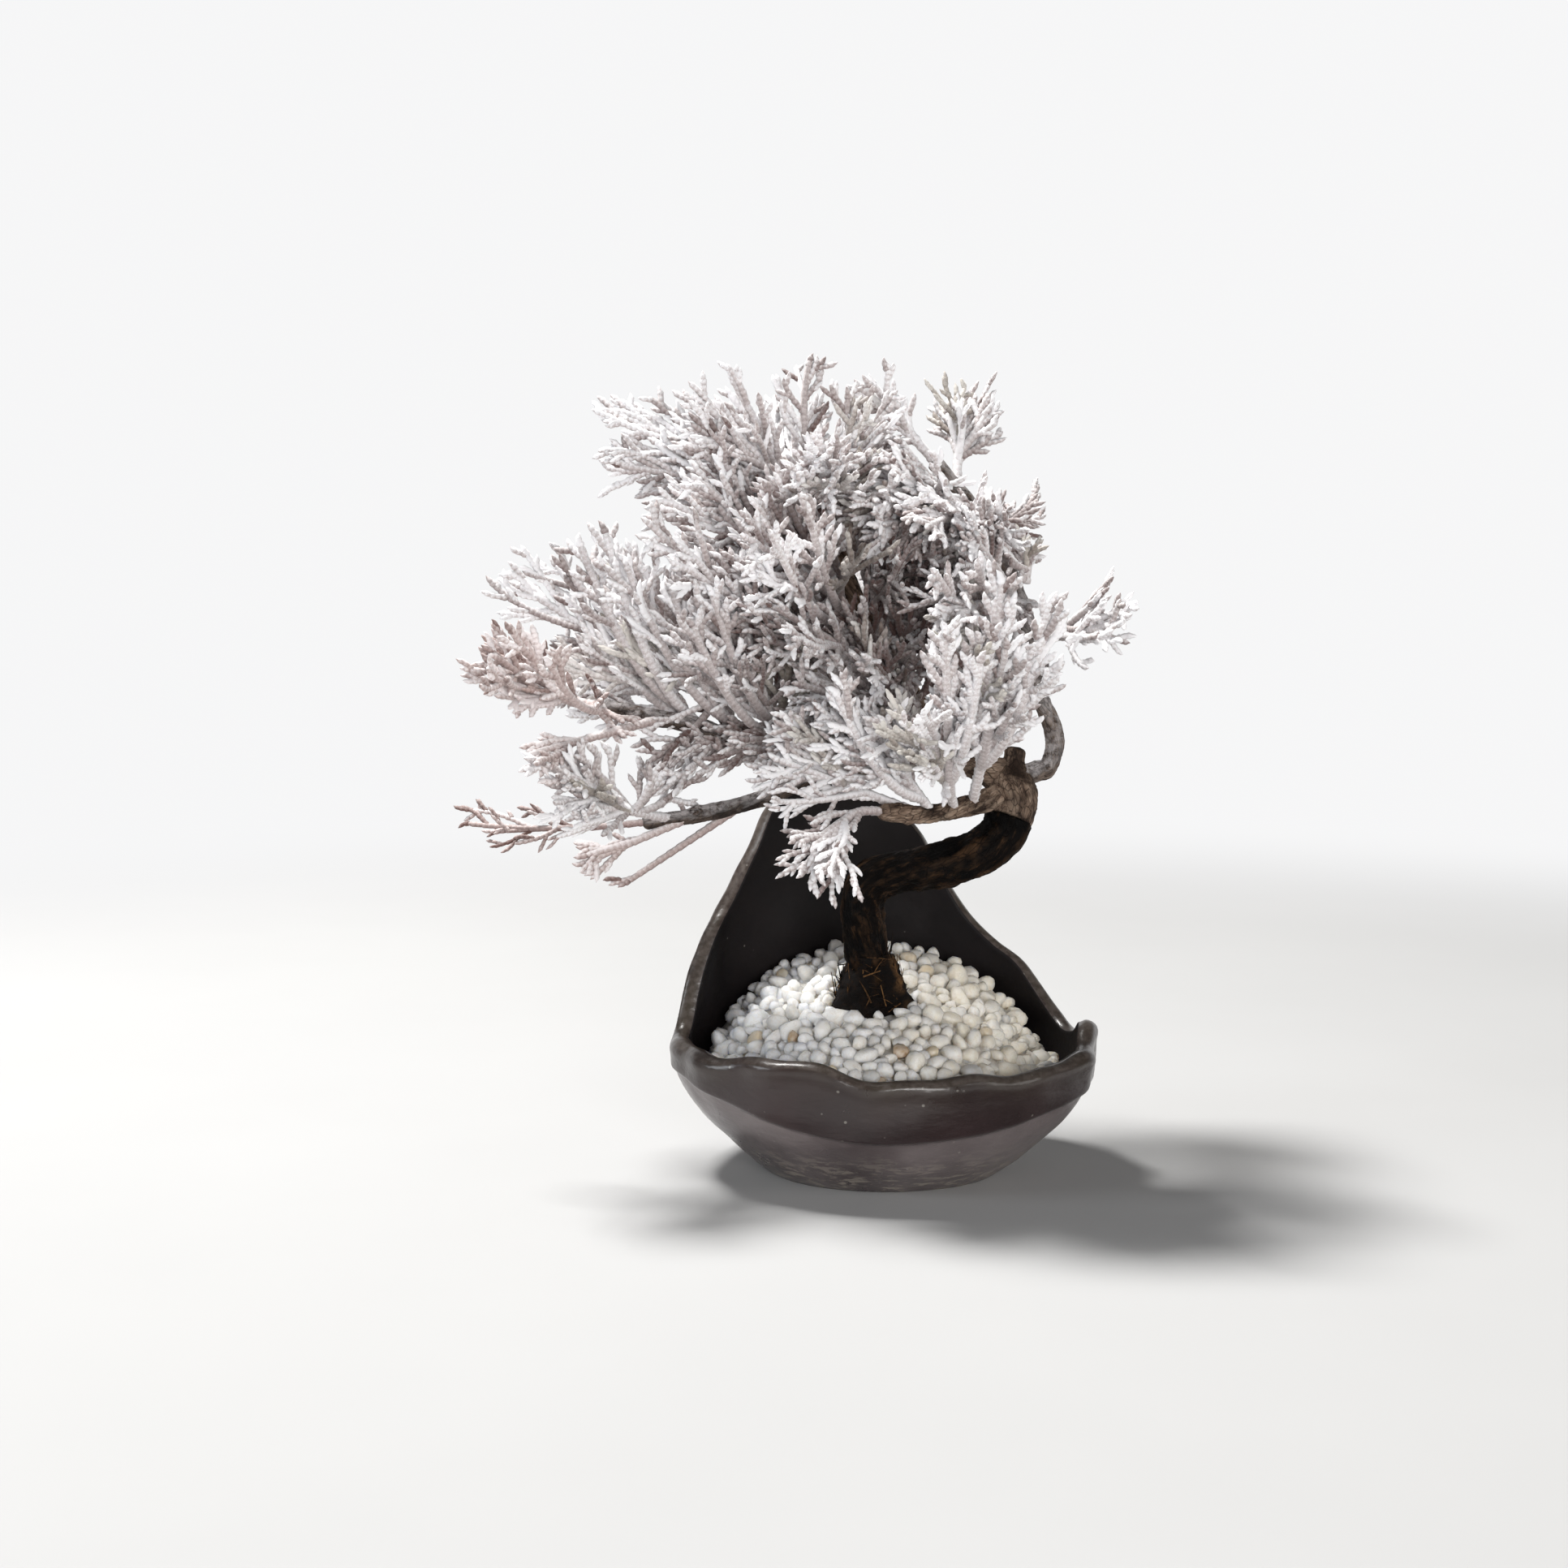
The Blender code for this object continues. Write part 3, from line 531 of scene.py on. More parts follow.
# Hand marks: angle, height, half-spans in degrees and millimetres, and depth (in is positive)
DENTS = (
    (196, 36, 15, 7, 0.9), (168, 33, 12, 8, -0.5), (222, 38, 7, 9, 1.1), (237, 36, 6, 10, -0.8),
    (248, 40, 6, 10, 1.0), (206, 12, 20, 6, 0.8), (238, 12, 14, 8, 0.9), (150, 12, 14, 8, -0.4),
    (128, 34, 6, 16, 0.8), (112, 36, 5, 12, -0.7), (100, 40, 6, 12, 1.0), (88, 42, 5, 8, -0.8),
    (176, 39, 14, 3.0, -0.5), (155, 39, 9, 3.0, 0.5), (214, 41, 9, 3.0, -0.5),
    (285, 30, 14, 14, 0.8), (310, 62, 10, 20, -0.9), (335, 78, 12, 22, 1.0), (0, 52, 14, 18, -0.8),
    (24, 44, 12, 18, 0.9), (50, 34, 12, 16, -0.7), (70, 28, 10, 12, 0.8), (318, 24, 16, 10, -0.6),
    (350, 26, 18, 12, 0.7), (292, 62, 5, 14, 0.9), (18, 74, 7, 14, -0.7),
)


def pot_rows(rims):
    """From the foot over the lip and down inside: height, inset, on the lip or not, inside or not."""
    top = rims - LIP_RISE
    flat = np.ones(POT_COLUMNS)
    rows = [(top * share, 0 * flat, 0.0, 0.0)
            for share in np.linspace(0, 1, OUTER_ROWS) ** ROW_CROWDING]
    for k in range(1, LIP_ROWS):
        swing = math.pi * k / LIP_ROWS
        rows.append((top + LIP_RISE * math.sin(swing), POT_WALL / 2 * (1 - math.cos(swing)) * flat,
                     1.0, float(k / LIP_ROWS > 0.75)))
    return rows + [(POT_WALL + (top - POT_WALL) * share, POT_WALL * flat, 0.0, 1.0)
                   for share in np.linspace(1, 0, INNER_ROWS) ** ROW_CROWDING]


def hand_marks(angles, height):
    """How deep the skin is pressed in at each angle, for a row at this height."""
    depths = np.zeros(len(angles))
    for centre, mid_height, half_angle, half_height, depth in DENTS:
        off = (angles - centre + 180) % 360 - 180
        depths += depth * np.exp(-(off / half_angle) ** 2 - ((height - mid_height) / half_height) ** 2)
    return depths


def pot():
    """The bowl with its hood: the CAD skin, with a lapped seam, a rolled rim and hand marks."""
    angles = 360 * np.arange(POT_COLUMNS) / POT_COLUMNS
    turns = np.radians(angles)
    rims = np.array([closed_curve_value(RIM_HEIGHTS, a) for a in angles])
    rims = rims + 0.8 * np.sin(np.radians(angles * 13)) * np.sin(np.radians(angles * 4 + 40))
    rims = rims + 0.45 * np.sin(np.radians(angles * 7 + 70))
    seams = np.array([closed_curve_value(SEAM_HEIGHTS, a) for a in angles])
    points, band, rim, lip, inside = [], [], [], [], []
    for height, inset, on_lip, within in pot_rows(rims):
        flat = pot_points(turns, height, inset)
        waves = noise_at(flat * 0.036, 1.0, 3.1) * 1.3 + noise_at(flat * 0.10, 1.0, 9.7) * 0.5
        belly = BELLY * np.sin(np.pi * np.clip(height / BULGE_HEIGHT, 0, 1)) * (1 - within)
        fade = np.clip(height / 5.0, 0, 1)
        lap = 1 / (1 + np.exp(-(height - seams) / 0.22))
        lap_drop = LAP_DROP * lap * np.exp(-np.maximum(height - seams, 0) / 10.0)
        roll = RIM_ROLL * np.exp(-((height - (rims - 3.2)) / 2.6) ** 2)
        outward = np.where(within > 0.5, 0.0, lap_drop + roll)
        pressed = (hand_marks(angles, height) - waves) * fade * (1 - 0.35 * within)
        points.append(pot_points(turns, height, inset + pressed - outward * fade - belly))
        band.append(1 / (1 + np.exp((height - seams) / 0.35)))
        rim.append(np.exp(-np.maximum(rims - height, 0) / 5.0) * (1 - within))
        lip.append(np.full(POT_COLUMNS, on_lip))
        inside.append(np.full(POT_COLUMNS, within))
    total = len(points) * POT_COLUMNS
    under = np.array([0.0, 0.0, 0.0])
    floor = np.array([0.0, 0.0, POT_WALL]) * MM
    skin = np.vstack([np.concatenate(points) * MM, under, floor])
    quads = ring_quads(0, len(points), POT_COLUMNS)[:, ::-1]
    caps = np.concatenate([fan(0, POT_COLUMNS, total, True),
                           fan(total - POT_COLUMNS, POT_COLUMNS, total + 1, False)])
    attributes = [("band", "FLOAT", np.concatenate([*band, [1.0, 0.0]])),
                  ("rim", "FLOAT", np.concatenate([*rim, [0.0, 0.0]])),
                  ("lip", "FLOAT", np.concatenate([*lip, [0.0, 0.0]]))]
    body = mesh_object("pot_body", skin, quads, caps, glaze_material(), attributes)
    # The inside faces take the near-black glaze, painted shade of the hood.
    body.data.materials.append(hood_shade_glaze_material())
    within = np.concatenate([*inside, [0.0, 1.0]]) > 0.5
    of_faces = np.concatenate([within[quads].all(axis=1), within[caps].all(axis=1)])
    body.data.polygons.foreach_set("material_index", of_faces.astype(np.int32))
    outward_faces(body)
    stands_for(body, "ceramic_pot")


# Gravel

GRAVEL_MIDDLE = 53.5
GRAVEL_TILT = 0.27
GRAVEL_SAG = 0.0014
GRAVEL_CREST = -3.0
GRAVEL_SHOULDER = 20.0
SHOULDER_REACH = 50.0
GRAVEL_EDGE_LOWEST = 33.0
GRAIN_SIZES = (0.72, 0.86, 1.0, 1.0, 1.16, 1.34)
GRAIN_LAYERS = (      # name, how far down, tries, spacing, subdivisions, brightness
    ("gravel_top_grains", 0.2, 14000, 6.4, 2, 1.0),
    ("gravel_lower_grains", 2.4, 9000, 5.4, 1, 0.97),
)
GRAIN_SHAPES = 14
GRAIN_CUTS = 7
GRAIN_MARGIN = 0.6
GRAIN_CROWDING = 0.36  # how near two grains' middles may lie, as a share of both their sizes
GRAIN_SQUASH = np.array([1.0, 1.0, 0.9])
CORE_DROP = 2.3
CORE_FLOOR = 28.4
CORE_INSET = POT_WALL + 1.0
CLUMP_CENTRE = (-4.0, 2.0)
CLUMP_ROOM = 10.5


def gravel_height(x, y):
    fall = GRAVEL_SHOULDER * (np.abs(x - GRAVEL_CREST) / SHOULDER_REACH) ** 2.6
    return np.maximum(GRAVEL_EDGE_LOWEST, GRAVEL_MIDDLE + GRAVEL_TILT * y - GRAVEL_SAG * y * y - fall)


def pebble_shapes(count, subdivisions, random):
    """Unit pebbles: cut planes on a sphere, rounded again, so they read as tumbled chips."""
    shapes = []
    for _ in range(count):
        shape = bmesh.new()
        bmesh.ops.create_icosphere(shape, subdivisions=subdivisions, radius=1.0)
        points = np.array([v.co for v in shape.verts])
        faces = np.array([[v.index for v in f.verts] for f in shape.faces])
        shape.free()
        for _ in range(GRAIN_CUTS):
            facing = unit(random.normal(size=3))
            depth = random.uniform(0.62, 0.88)
            over = points @ facing - depth
            points = points - np.outer(np.maximum(over, 0) * 0.85, facing)
        points += unit(points) * noise_at(points * 1.3, 1.0, random.uniform(0, 50))[:, None] * 0.12
        shapes.append((points, faces))
    return shapes


def quartz_tint_and_painted_light(x, random):
    """White grains, painted cooler and lit to the left and creamier and shaded to the right, with a few tan
    ones.
    """
    # Painted light: a cool lit tint on the left fades to a darker cream shade towards the right.
    rightward_painted_shade = np.clip((x + 40) / 80, 0, 1) * 0.95 + random.uniform(-0.2, 0.3)
    cool_lit_tint = np.array([0.90, 0.915, 0.94])
    cream_shaded_tint = np.array([0.88, 0.80, 0.66])
    tint = cool_lit_tint + (cream_shaded_tint - cool_lit_tint) * np.clip(rightward_painted_shade, 0, 1)
    kind = random.uniform()
    if kind < 0.018:
        tint = np.array([0.46, 0.30, 0.15])
    elif kind < 0.06:
        tint = np.array([0.72, 0.59, 0.41])
    elif kind < 0.11:
        tint = np.array([0.62, 0.62, 0.61])
    return np.minimum(tint * random.uniform(0.92, 1.06), 0.96)


def scattered(random, tries, spacing):
    """Places on the gravel, no closer than a spacing that varies with the grain's size."""
    places = []
    cells = {}
    cell = 6
    for _ in range(tries):
        turn = random.uniform(0, 2 * math.pi)
        reach = math.sqrt(random.uniform())
        size = spacing * random.choice(GRAIN_SIZES)
        rough = RIM_HALF_WIDTH * reach * math.sin(turn), RIM_HALF_DEPTH * reach * math.cos(turn)
        height = float(gravel_height(*rough))
        edge = pot_points(np.array([turn]), np.array([height - 1.5]), POT_WALL + GRAIN_MARGIN + size / 2)[0]
        x, y = edge[0] * reach, edge[1] * reach
        if math.hypot(x - CLUMP_CENTRE[0], y - CLUMP_CENTRE[1]) < CLUMP_ROOM + size / 2:
            continue
        column, row = int(x // cell), int(y // cell)
        near = [p for i in (-1, 0, 1) for j in (-1, 0, 1) for p in cells.get((column + i, row + j), ())]
        if any(math.hypot(p[0] - x, p[1] - y) < GRAIN_CROWDING * (p[2] + size) for p in near):
            continue
        cells.setdefault((column, row), []).append((x, y, size))
        places.append((x, y, size))
    return places


def grains(material, name, layer_drop, tries, spacing, subdivisions, brightness):
    """One layer of grains, each turned and stretched its own way."""
    random = seeded(name)
    shapes = pebble_shapes(GRAIN_SHAPES, subdivisions, random)
    points, faces, tints = [], [], []
    first = 0
    for x, y, size in scattered(random, tries, spacing):
        shape, corners = shapes[random.integers(len(shapes))]
        axes, _ = np.linalg.qr(random.normal(size=(3, 3)))
        stretch = np.array([random.uniform(0.95, 1.25), random.uniform(0.85, 1.05),
                            random.uniform(0.68, 0.9)]) * size / 2
        centre = np.array([x, y, float(gravel_height(x, y)) - layer_drop + random.uniform(-0.7, 0.5)])
        placed = ((shape * stretch) @ axes.T) * GRAIN_SQUASH + centre
        points.append(placed * MM)
        if np.linalg.det(axes) < 0:
            corners = corners[:, ::-1]
        faces.append(corners + first)
        first += len(placed)
        tints.append(np.broadcast_to([*quartz_tint_and_painted_light(x, random) * brightness, 1.0], (len(placed), 4)))
    return mesh_object(name, np.concatenate(points), [], np.concatenate(faces), material,
                       [("tint", "FLOAT_COLOR", np.concatenate(tints))])


def gravel_core(material):
    """The packed gravel below the top grains, so that no gap shows through."""
    rings, sides = 26, 72
    turns = 2 * np.pi * np.arange(sides) / sides
    points = []
    for k in range(rings):
        share = 1 - k / rings
        for turn in turns:
            level = 40.0
            for _ in range(4):
                edge = pot_points(turn, level, CORE_INSET)
                level = float(gravel_height(edge[0], edge[1]))
            x, y = edge[0] * share, edge[1] * share
            lift = noise.noise(Vector((x * 0.4, y * 0.4, 2.0))) * 0.8
            points.append((x, y, float(gravel_height(x, y)) - CORE_DROP + lift))
    points += [tuple(pot_points(turn, CORE_FLOOR, CORE_INSET)) for turn in turns]
    points += [(0.0, 0.0, float(gravel_height(0.0, 0.0)) - 3.0), (0.0, 0.0, CORE_FLOOR)]
    total = rings * sides
    skirt = np.arange(sides)
    after = (skirt + 1) % sides
    quads = np.concatenate([ring_quads(0, rings, sides),
                            np.stack([total + skirt, total + after, after, skirt], axis=1)])
    caps = np.concatenate([fan((rings - 1) * sides, sides, total + sides, True),
                           fan(total, sides, total + sides + 1, False)])
    tint = np.tile([0.88, 0.84, 0.76, 1.0], (len(points), 1))
    core = mesh_object("gravel_core", np.array(points) * MM, quads, caps, material,
                       [("tint", "FLOAT_COLOR", tint)])
    outward_faces(core)
    return core


def gravel():
    quartz = quartz_material()
    for piece in (*(grains(quartz, *layer) for layer in GRAIN_LAYERS), gravel_core(quartz)):
        stands_for(piece, "gravel_bed")


# Wood

TRUNK_BEND = (
    (-4, 2, 50), (-5, 2, 63), (-6.3, 0, 74), (-6.5, -1.5, 83), (-4.5, -4, 90), (2, -6, 93.5),
    (12, -7.5, 95.5), (23, -8, 98), (31, -7.4, 101.5), (36, -6, 105.8), (38, -4.6, 110),
)
CROWN_BEND = (
    (39, -3, 115, 8.2), (38.8, -1.4, 120, 7.8), (39, -0.6, 124.5, 5.4), (39.8, -0.3, 128.5, 3.3),
    (40.3, 0, 132, 3.7),
)
LIMBS = (
    ("limb_centre", "crown_burl", 0.50, 4.6, 2.6,
     ((24, 2.5, 129), (11.5, 6, 142), (0, 8, 159), (-10, 10, 179), (-17.5, 10, 199),
      (-22, 10, 214))),
    ("limb_right", "crown_burl", 0.56, 3.0, 2.4,
     ((50.5, 3.5, 125), (53, 6, 133), (51, 7, 141), (48.5, 8, 147), (49, 10, 153),
      (46, 12, 166), (38, 14, 186.5), (28, 14, 204), (15, 14, 220))),
    ("limb_front", "crown_burl", 0.38, 3.4, 2.4,
     ((26, -14, 115.5), (11, -25, 114), (-3, -34, 116))),
    ("limb_left", "limb_centre", 0.16, 3.2, 2.4,
     ((3, 6, 127), (-20, 4, 124.5), (-37.5, 0, 130), (-55, -4, 138), (-72, -8, 142),
      (-86, -10, 145))),
    ("limb_left_low", "limb_left", 0.33, 2.6, 2.4,
     ((-37, 2, 116), (-55, -6, 112), (-74, -12, 110))),
    ("limb_back", "limb_centre", 0.34, 2.8, 2.4,
     ((5, 22, 158), (2, 34, 168), (-4, 44, 178))),
)
TRUNK_FOOT_RADIUS = 6.0
TRUNK_TOP_RADIUS = 7.2
SEAM_GAP = 0.3
NECK = 1.2
PEG_DEPTH = 4.0
PEG_RADIUS = 2.2
RING_SPACING = 0.55
TIP_ROUNDING = 1.6

# Knots and stubs on the wood: place along the piece, angle round it in degrees, reach, height
TRUNK_KNOTS = (
    (0.50, 200, 2.6, 1.5), (0.56, 100, 2.2, 1.2), (0.66, 330, 2.8, 1.3), (0.74, 60, 2.6, 1.6),
    (0.84, 285, 2.6, 2.2), (0.92, 150, 3.0, 1.4), (0.36, 20, 2.4, 1.0), (0.25, 250, 2.6, 1.1),
    (0.45, 300, 2.0, 1.1), (0.78, 200, 2.4, 1.2),
)


def along_path(points, radii, place):
    """Point, direction and radius at a share of a path's length."""
    along = lengths_of(points)
    wanted = place * along[-1]
    i = int(np.clip(np.searchsorted(along, wanted) - 1, 0, len(points) - 2))
    share = (wanted - along[i]) / (along[i + 1] - along[i])
    return (points[i] + (points[i + 1] - points[i]) * share, unit(points[i + 1] - points[i]),
            radii[i] + (radii[i + 1] - radii[i]) * share)


def wood_piece(name, node, points, radii, material, sides, roughness, knots=(), flare=0.0,
               round_tip=True, ridges=5, twist=0.03):
    """A twisted, ridged and knotted tube along a path, in millimetres, closed at both ends."""
    smooth = smooth_points(points, 6)
    smooth_radii = np.interp(lengths_of(smooth), lengths_of(points), radii)
    line, radius = resampled(smooth, smooth_radii, RING_SPACING)
    _, side, through = frames_along(line, (0.3, -1.0, 0.2))
    along = lengths_of(line)
    total = along[-1]
    turn = 2 * np.pi * np.arange(sides) / sides
    seed = seeded(name).uniform(0, 60)
    skew = turn[None, :] + twist * along[:, None]
    waves = 0.5 * np.cos(ridges * skew + 2 * np.sin(along[:, None] * 0.05 + seed))
    waves = waves + 0.3 * np.cos((ridges + 4) * skew + 1.7 * np.sin(along[:, None] * 0.11 + seed))
    flat = np.stack([np.cos(skew) * 1.3, np.sin(skew) * 1.3,
                     np.broadcast_to(along[:, None] * 0.055, skew.shape)], axis=2).reshape(-1, 3)
    lump = noise_at(flat, 1.0, seed).reshape(skew.shape)
    rough = noise_at(flat * np.array([3.2, 3.2, 5.0]), 1.0, seed + 7).reshape(skew.shape)
    crust = noise_at(flat * np.array([9.0, 9.0, 16.0]), 1.0, seed + 13).reshape(skew.shape)
    relief = waves * 0.35 + lump * 0.9 + rough * 0.55 + crust * 0.22
    reach = radius[:, None] * (1 + roughness * relief * 0.16)
    reach = reach * (1 + flare * np.exp(-along / 3.5))[:, None]
    for place, angle, wide, high in knots:
        off_turn = (turn - math.radians(angle) + np.pi) % (2 * np.pi) - np.pi
        away = np.hypot((along - place * total)[:, None], off_turn[None, :] * radius[:, None])
        crater = np.exp(-(away / wide) ** 2) - 0.55 * np.exp(-(away / (wide * 0.42)) ** 2)
        reach = reach + high * crater
    if round_tip:
        closing = np.clip(1 - (total - along) / TIP_ROUNDING, 0, 1)
        reach = reach * np.sqrt(np.clip(1 - closing ** 2 * 0.85, 0.1, 1))[:, None]
    cos, sin = np.cos(turn)[None, :, None], np.sin(turn)[None, :, None]
    grid = line[:, None, :] + reach[:, :, None] * (side[:, None, :] * cos + through[:, None, :] * sin)
    skin = np.vstack([grid.reshape(-1, 3), line[0], line[-1]]) * MM
    around = radius[:, None] * 0.5
    grain = np.stack([np.cos(skew) * around, np.sin(skew) * around,
                      np.broadcast_to(along[:, None] * 0.16, skew.shape)], axis=2).reshape(-1, 3)
    grain = np.vstack([grain, grain[0], grain[-1]])
    ridge = np.clip(0.5 + 0.5 * relief, 0, 1).ravel()
    piece = mesh_object(name, skin, *closed_tube(0, len(line), sides), material,
                        [("grain", "FLOAT_VECTOR", grain),
                         ("ridge", "FLOAT", np.concatenate([ridge, [0.5, 0.5]]))])
    stands_for(piece, node)


def wood():
    """The trunk, the burl at its top and the limbs, on the same paths as in the CAD model."""
    bark = bark_material("dark_bark", (0.0010, 0.0008, 0.0008), (0.0050, 0.0029, 0.0020),
                         (0.075, 0.040, 0.020), 0.0)
    crown_bark = bark_material("crown_bark", (0.032, 0.021, 0.016), (0.190, 0.132, 0.097),
                               (0.46, 0.35, 0.265), 0.0)
    limb_bark = bark_material("frosted_bark", (0.030, 0.022, 0.019), (0.120, 0.088, 0.070),
                              (0.260, 0.205, 0.170), 0.95)
    bend = smooth_points(TRUNK_BEND, 2)
    trunk = np.vstack([[bend[0][0], bend[0][1], 44.0], bend])
    trunk_radii = np.linspace(TRUNK_FOOT_RADIUS, TRUNK_TOP_RADIUS, len(trunk))
    wood_piece("trunk_wood", "trunk", trunk, trunk_radii, bark, 64, 1.0, TRUNK_KNOTS, 0.0, False, 5)
    seam, along = trunk[-1], unit(trunk[-1] - trunk[-2])
    face = seam + along * SEAM_GAP
    knots = np.array([(*(face + along * 2.0), TRUNK_TOP_RADIUS), *CROWN_BEND])
    samples = smooth_points(knots, 2)
    crown = np.vstack([face, samples[:, :3]])
    crown_radii = np.concatenate([[TRUNK_TOP_RADIUS], samples[:, 3]])
    wood_piece("crown_wood", "crown_burl", crown, crown_radii, crown_bark, 56, 1.0,
               ((0.35, 120, 3.2, 1.6), (0.2, 250, 2.6, 1.1), (0.55, 340, 2.6, 1.3)), 0.0, True, 4)
    paths = {"crown_burl": (crown, crown_radii)}
    for name, parent, place, first, last, way in LIMBS:
        point, along, parent_radius = along_path(*paths[parent], place)
        way = np.array(way, float)
        aim = unit(way[0] - point)
        slant = math.acos(float(np.clip(aim @ along, -1, 1)))
        reach = (parent_radius + first * abs(math.cos(slant))) / math.sin(slant) + NECK
        shoulder = point + aim * reach
        inner = point + aim * (parent_radius - PEG_DEPTH) / math.sin(slant)
        body = smooth_points([shoulder + aim * NECK, *way], 2)
        radii = first + (last - first) / (len(body) - 1) * np.arange(len(body))
        shown = np.vstack([inner, shoulder, body])
        shown_radii = np.concatenate([[first * 0.9, first], radii])
        paths[name] = (shown, np.concatenate([[PEG_RADIUS, PEG_RADIUS], radii]))
        random = seeded(name)
        bumps = [(random.uniform(0.1, 0.95), random.uniform(0, 360), random.uniform(1.6, 2.2),
                  random.uniform(0.5, 1.1)) for _ in range(7)]
        surface = crown_bark if name in ("limb_front", "limb_centre") else limb_bark
        wood_piece(name + "_wood", name, shown, shown_radii, surface, 32, 1.15, bumps, 0.45, True,
                   4, 0.09)


CLUMP_FOOT = 40.0
CLUMP_HEIGHT = 27.0


def clump_reach(share, lump=1.0):
    """The root clump's radius at a share of its height: widest low down, drawn in at the trunk."""
    swell = 1 + 1.3 * share - 1.6 * share * share
    draw = min(1.0, max(0.0, (share - 0.35) / 0.6))
    return max(10.0 * swell * lump * (1 - 0.26 * draw), 7.0)


def root_clump():
    """A ball of peat and fibre round the trunk's foot."""
    random = seeded("root_clump")
    sides, rows = 64, 40
    x, y = CLUMP_CENTRE
    grid, warm = [], []
    for k in range(rows):
        share = k / (rows - 1)
        height = CLUMP_FOOT + CLUMP_HEIGHT * share
        for j in range(sides):
            turn = 2 * math.pi * j / sides
            lump = 1 + 0.09 * math.sin(3 * turn + 5 * share) + 0.05 * math.sin(5 * turn - 9 * share)
            spot = Vector((math.cos(turn) * 1.6, math.sin(turn) * 1.6, height * 0.16))
            clods = noise.noise(spot * 0.9) * 2.0 + noise.noise(spot * 3.1) * 1.3
            reach = clump_reach(share, lump) + (clods + noise.noise(spot * 8) * 0.6)
            grid.append((x + reach * math.cos(turn), y + reach * math.sin(turn), height))
            # Orange fibre patches, with more of them on the front-right side: painted light on that side.
            orange = noise.noise(spot * 0.9 + Vector((4, 1, 7))) * 1.6 + 0.7 * math.cos(turn + 0.5)
            warm.append(min(1.0, max(0.0, orange - 0.85)))
    grid += [(x, y, CLUMP_FOOT), (x, y, CLUMP_FOOT + CLUMP_HEIGHT)]
    peat = peat_material()
    ball = mesh_object("root_peat_ball", np.array(grid) * MM, *closed_tube(0, rows, sides), peat,
                       [("warm", "FLOAT", [*warm, 0.0, 0.0])])
    stands_for(ball, "root_clump")
    strands = Strands()
    for _ in range(230):
        turn = random.uniform(0, 2 * math.pi)
        height = random.uniform(50.0, 68.0)
        reach = clump_reach((height - CLUMP_FOOT) / CLUMP_HEIGHT) + random.uniform(-0.3, 0.5)
        out = np.array([math.cos(turn), math.sin(turn), 0.0])
        start = np.array([x, y, height]) + out * reach
        around = np.array([-math.sin(turn), math.cos(turn), 0.0])
        run = unit(around * random.normal() + np.array([0, 0, random.normal() * 1.2]) + out * 0.1)
        length = random.uniform(3, 8)
        strands.fibre(start - out * 0.5, run, -out, length, random.uniform(0.13, 0.3), random)
    stands_for(strands.made("root_fibres", peat, "warm"), "root_clump")


# Foliage

SCALE = 1.8           # length of one scale leaf, in millimetres
STEP = SCALE / 3
SIDES = 6
TURN = 2 * np.pi * np.arange(SIDES) / SIDES
COS = np.cos(TURN)[None, :, None]
SIN = np.sin(TURN)[None, :, None]
SAW = np.array([0.87, 1.01, 1.10])
# Frost on the wide rings of each scale, and painted shade in the narrow grooves between scales.
SAW_FROST_AND_SHADE = np.array([-0.11, 0.01, 0.09])
BRANCH_SPACING = 3.1
TOP_FROST_AND_HIGHLIGHT = 0.30          # extra frost on what faces up, and a painted highlight on the tops
CROWN_TOP = 251.0     # branchlets end below this height


class Strands:
    """Thin closed tubes collected into one mesh."""

    def __init__(self, passage=None):
        self.piles = [], [], [], [], []
        self.points, self.quads, self.triangles, self.values, self.lines = self.piles
        self.count = 0
        self.dusting = 0.0
        self.passage = passage

    def mark(self):
        return [len(pile) for pile in self.piles], self.count

    def cut_back(self, mark):
        """Drops what was made since the mark if a turning spray would meet it."""
        lengths, count = mark
        made = self.lines[lengths[-1]:]
        if self.passage is None or not any(meets(self.passage, line) for line in made):
            return False
        for pile, length in zip(self.piles, lengths):
            del pile[length:]
        self.count = count
        return True

    def tube(self, line, side, through, wide, thick, values, tip):
        """Rings along a line, with a point at each end, and values for every vertex of the rings."""
        rows = len(line)
        self.lines.append(line)
        ring = (line[:, None, :] + side[:, None, :] * COS * wide[:, None, None]
                + through[:, None, :] * SIN * thick[:, None, None])
        self.points += [ring.reshape(-1, 3), line[:1], tip[None, :]]
        quads, caps = closed_tube(self.count, rows, SIDES)
        self.quads.append(quads)
        self.triangles.append(caps)
        self.values += [values.reshape(rows * SIDES, -1), values[0, :1], values[-1, :1]]
        self.count += rows * SIDES + 2

    def fibre(self, start, run, inward, length, radius, random):
        """A plain curved fibre that hugs what it lies on."""
        rows = 7
        s = np.linspace(0, 1, rows)[:, None]
        curl = unit(random.normal(size=3)) * 0.35 + inward * 0.25
        line = start + run * s * length + curl * s * s * length * 0.5
        ahead, side, through = frames_along(line, np.cross(run, inward + 0.01))
        size = radius * (1 - 0.5 * s[:, 0])
        value = np.full((rows, SIDES, 1), max(0.0, random.uniform(-0.9, 0.8)))
        self.tube(line, side, through, size, size, value, line[-1] + ahead[-1] * radius)

    def made(self, name, material, key):
        kind = "FLOAT" if self.values[0].shape[1] == 1 else "FLOAT_COLOR"
        return mesh_object(name, np.concatenate(self.points) * MM, np.concatenate(self.quads),
                           np.concatenate(self.triangles), material,
                           [(key, kind, np.concatenate(self.values))])


def rotated(vector, axis, angle):
    axis = unit(axis)
    return (vector * math.cos(angle) + np.cross(axis, vector) * math.sin(angle)
            + axis * (axis @ vector) * (1 - math.cos(angle)))


TREE_HEART = np.array([-8.0, 2.0, 172.0])
HEART_REACH = np.array([88.0, 62.0, 62.0])


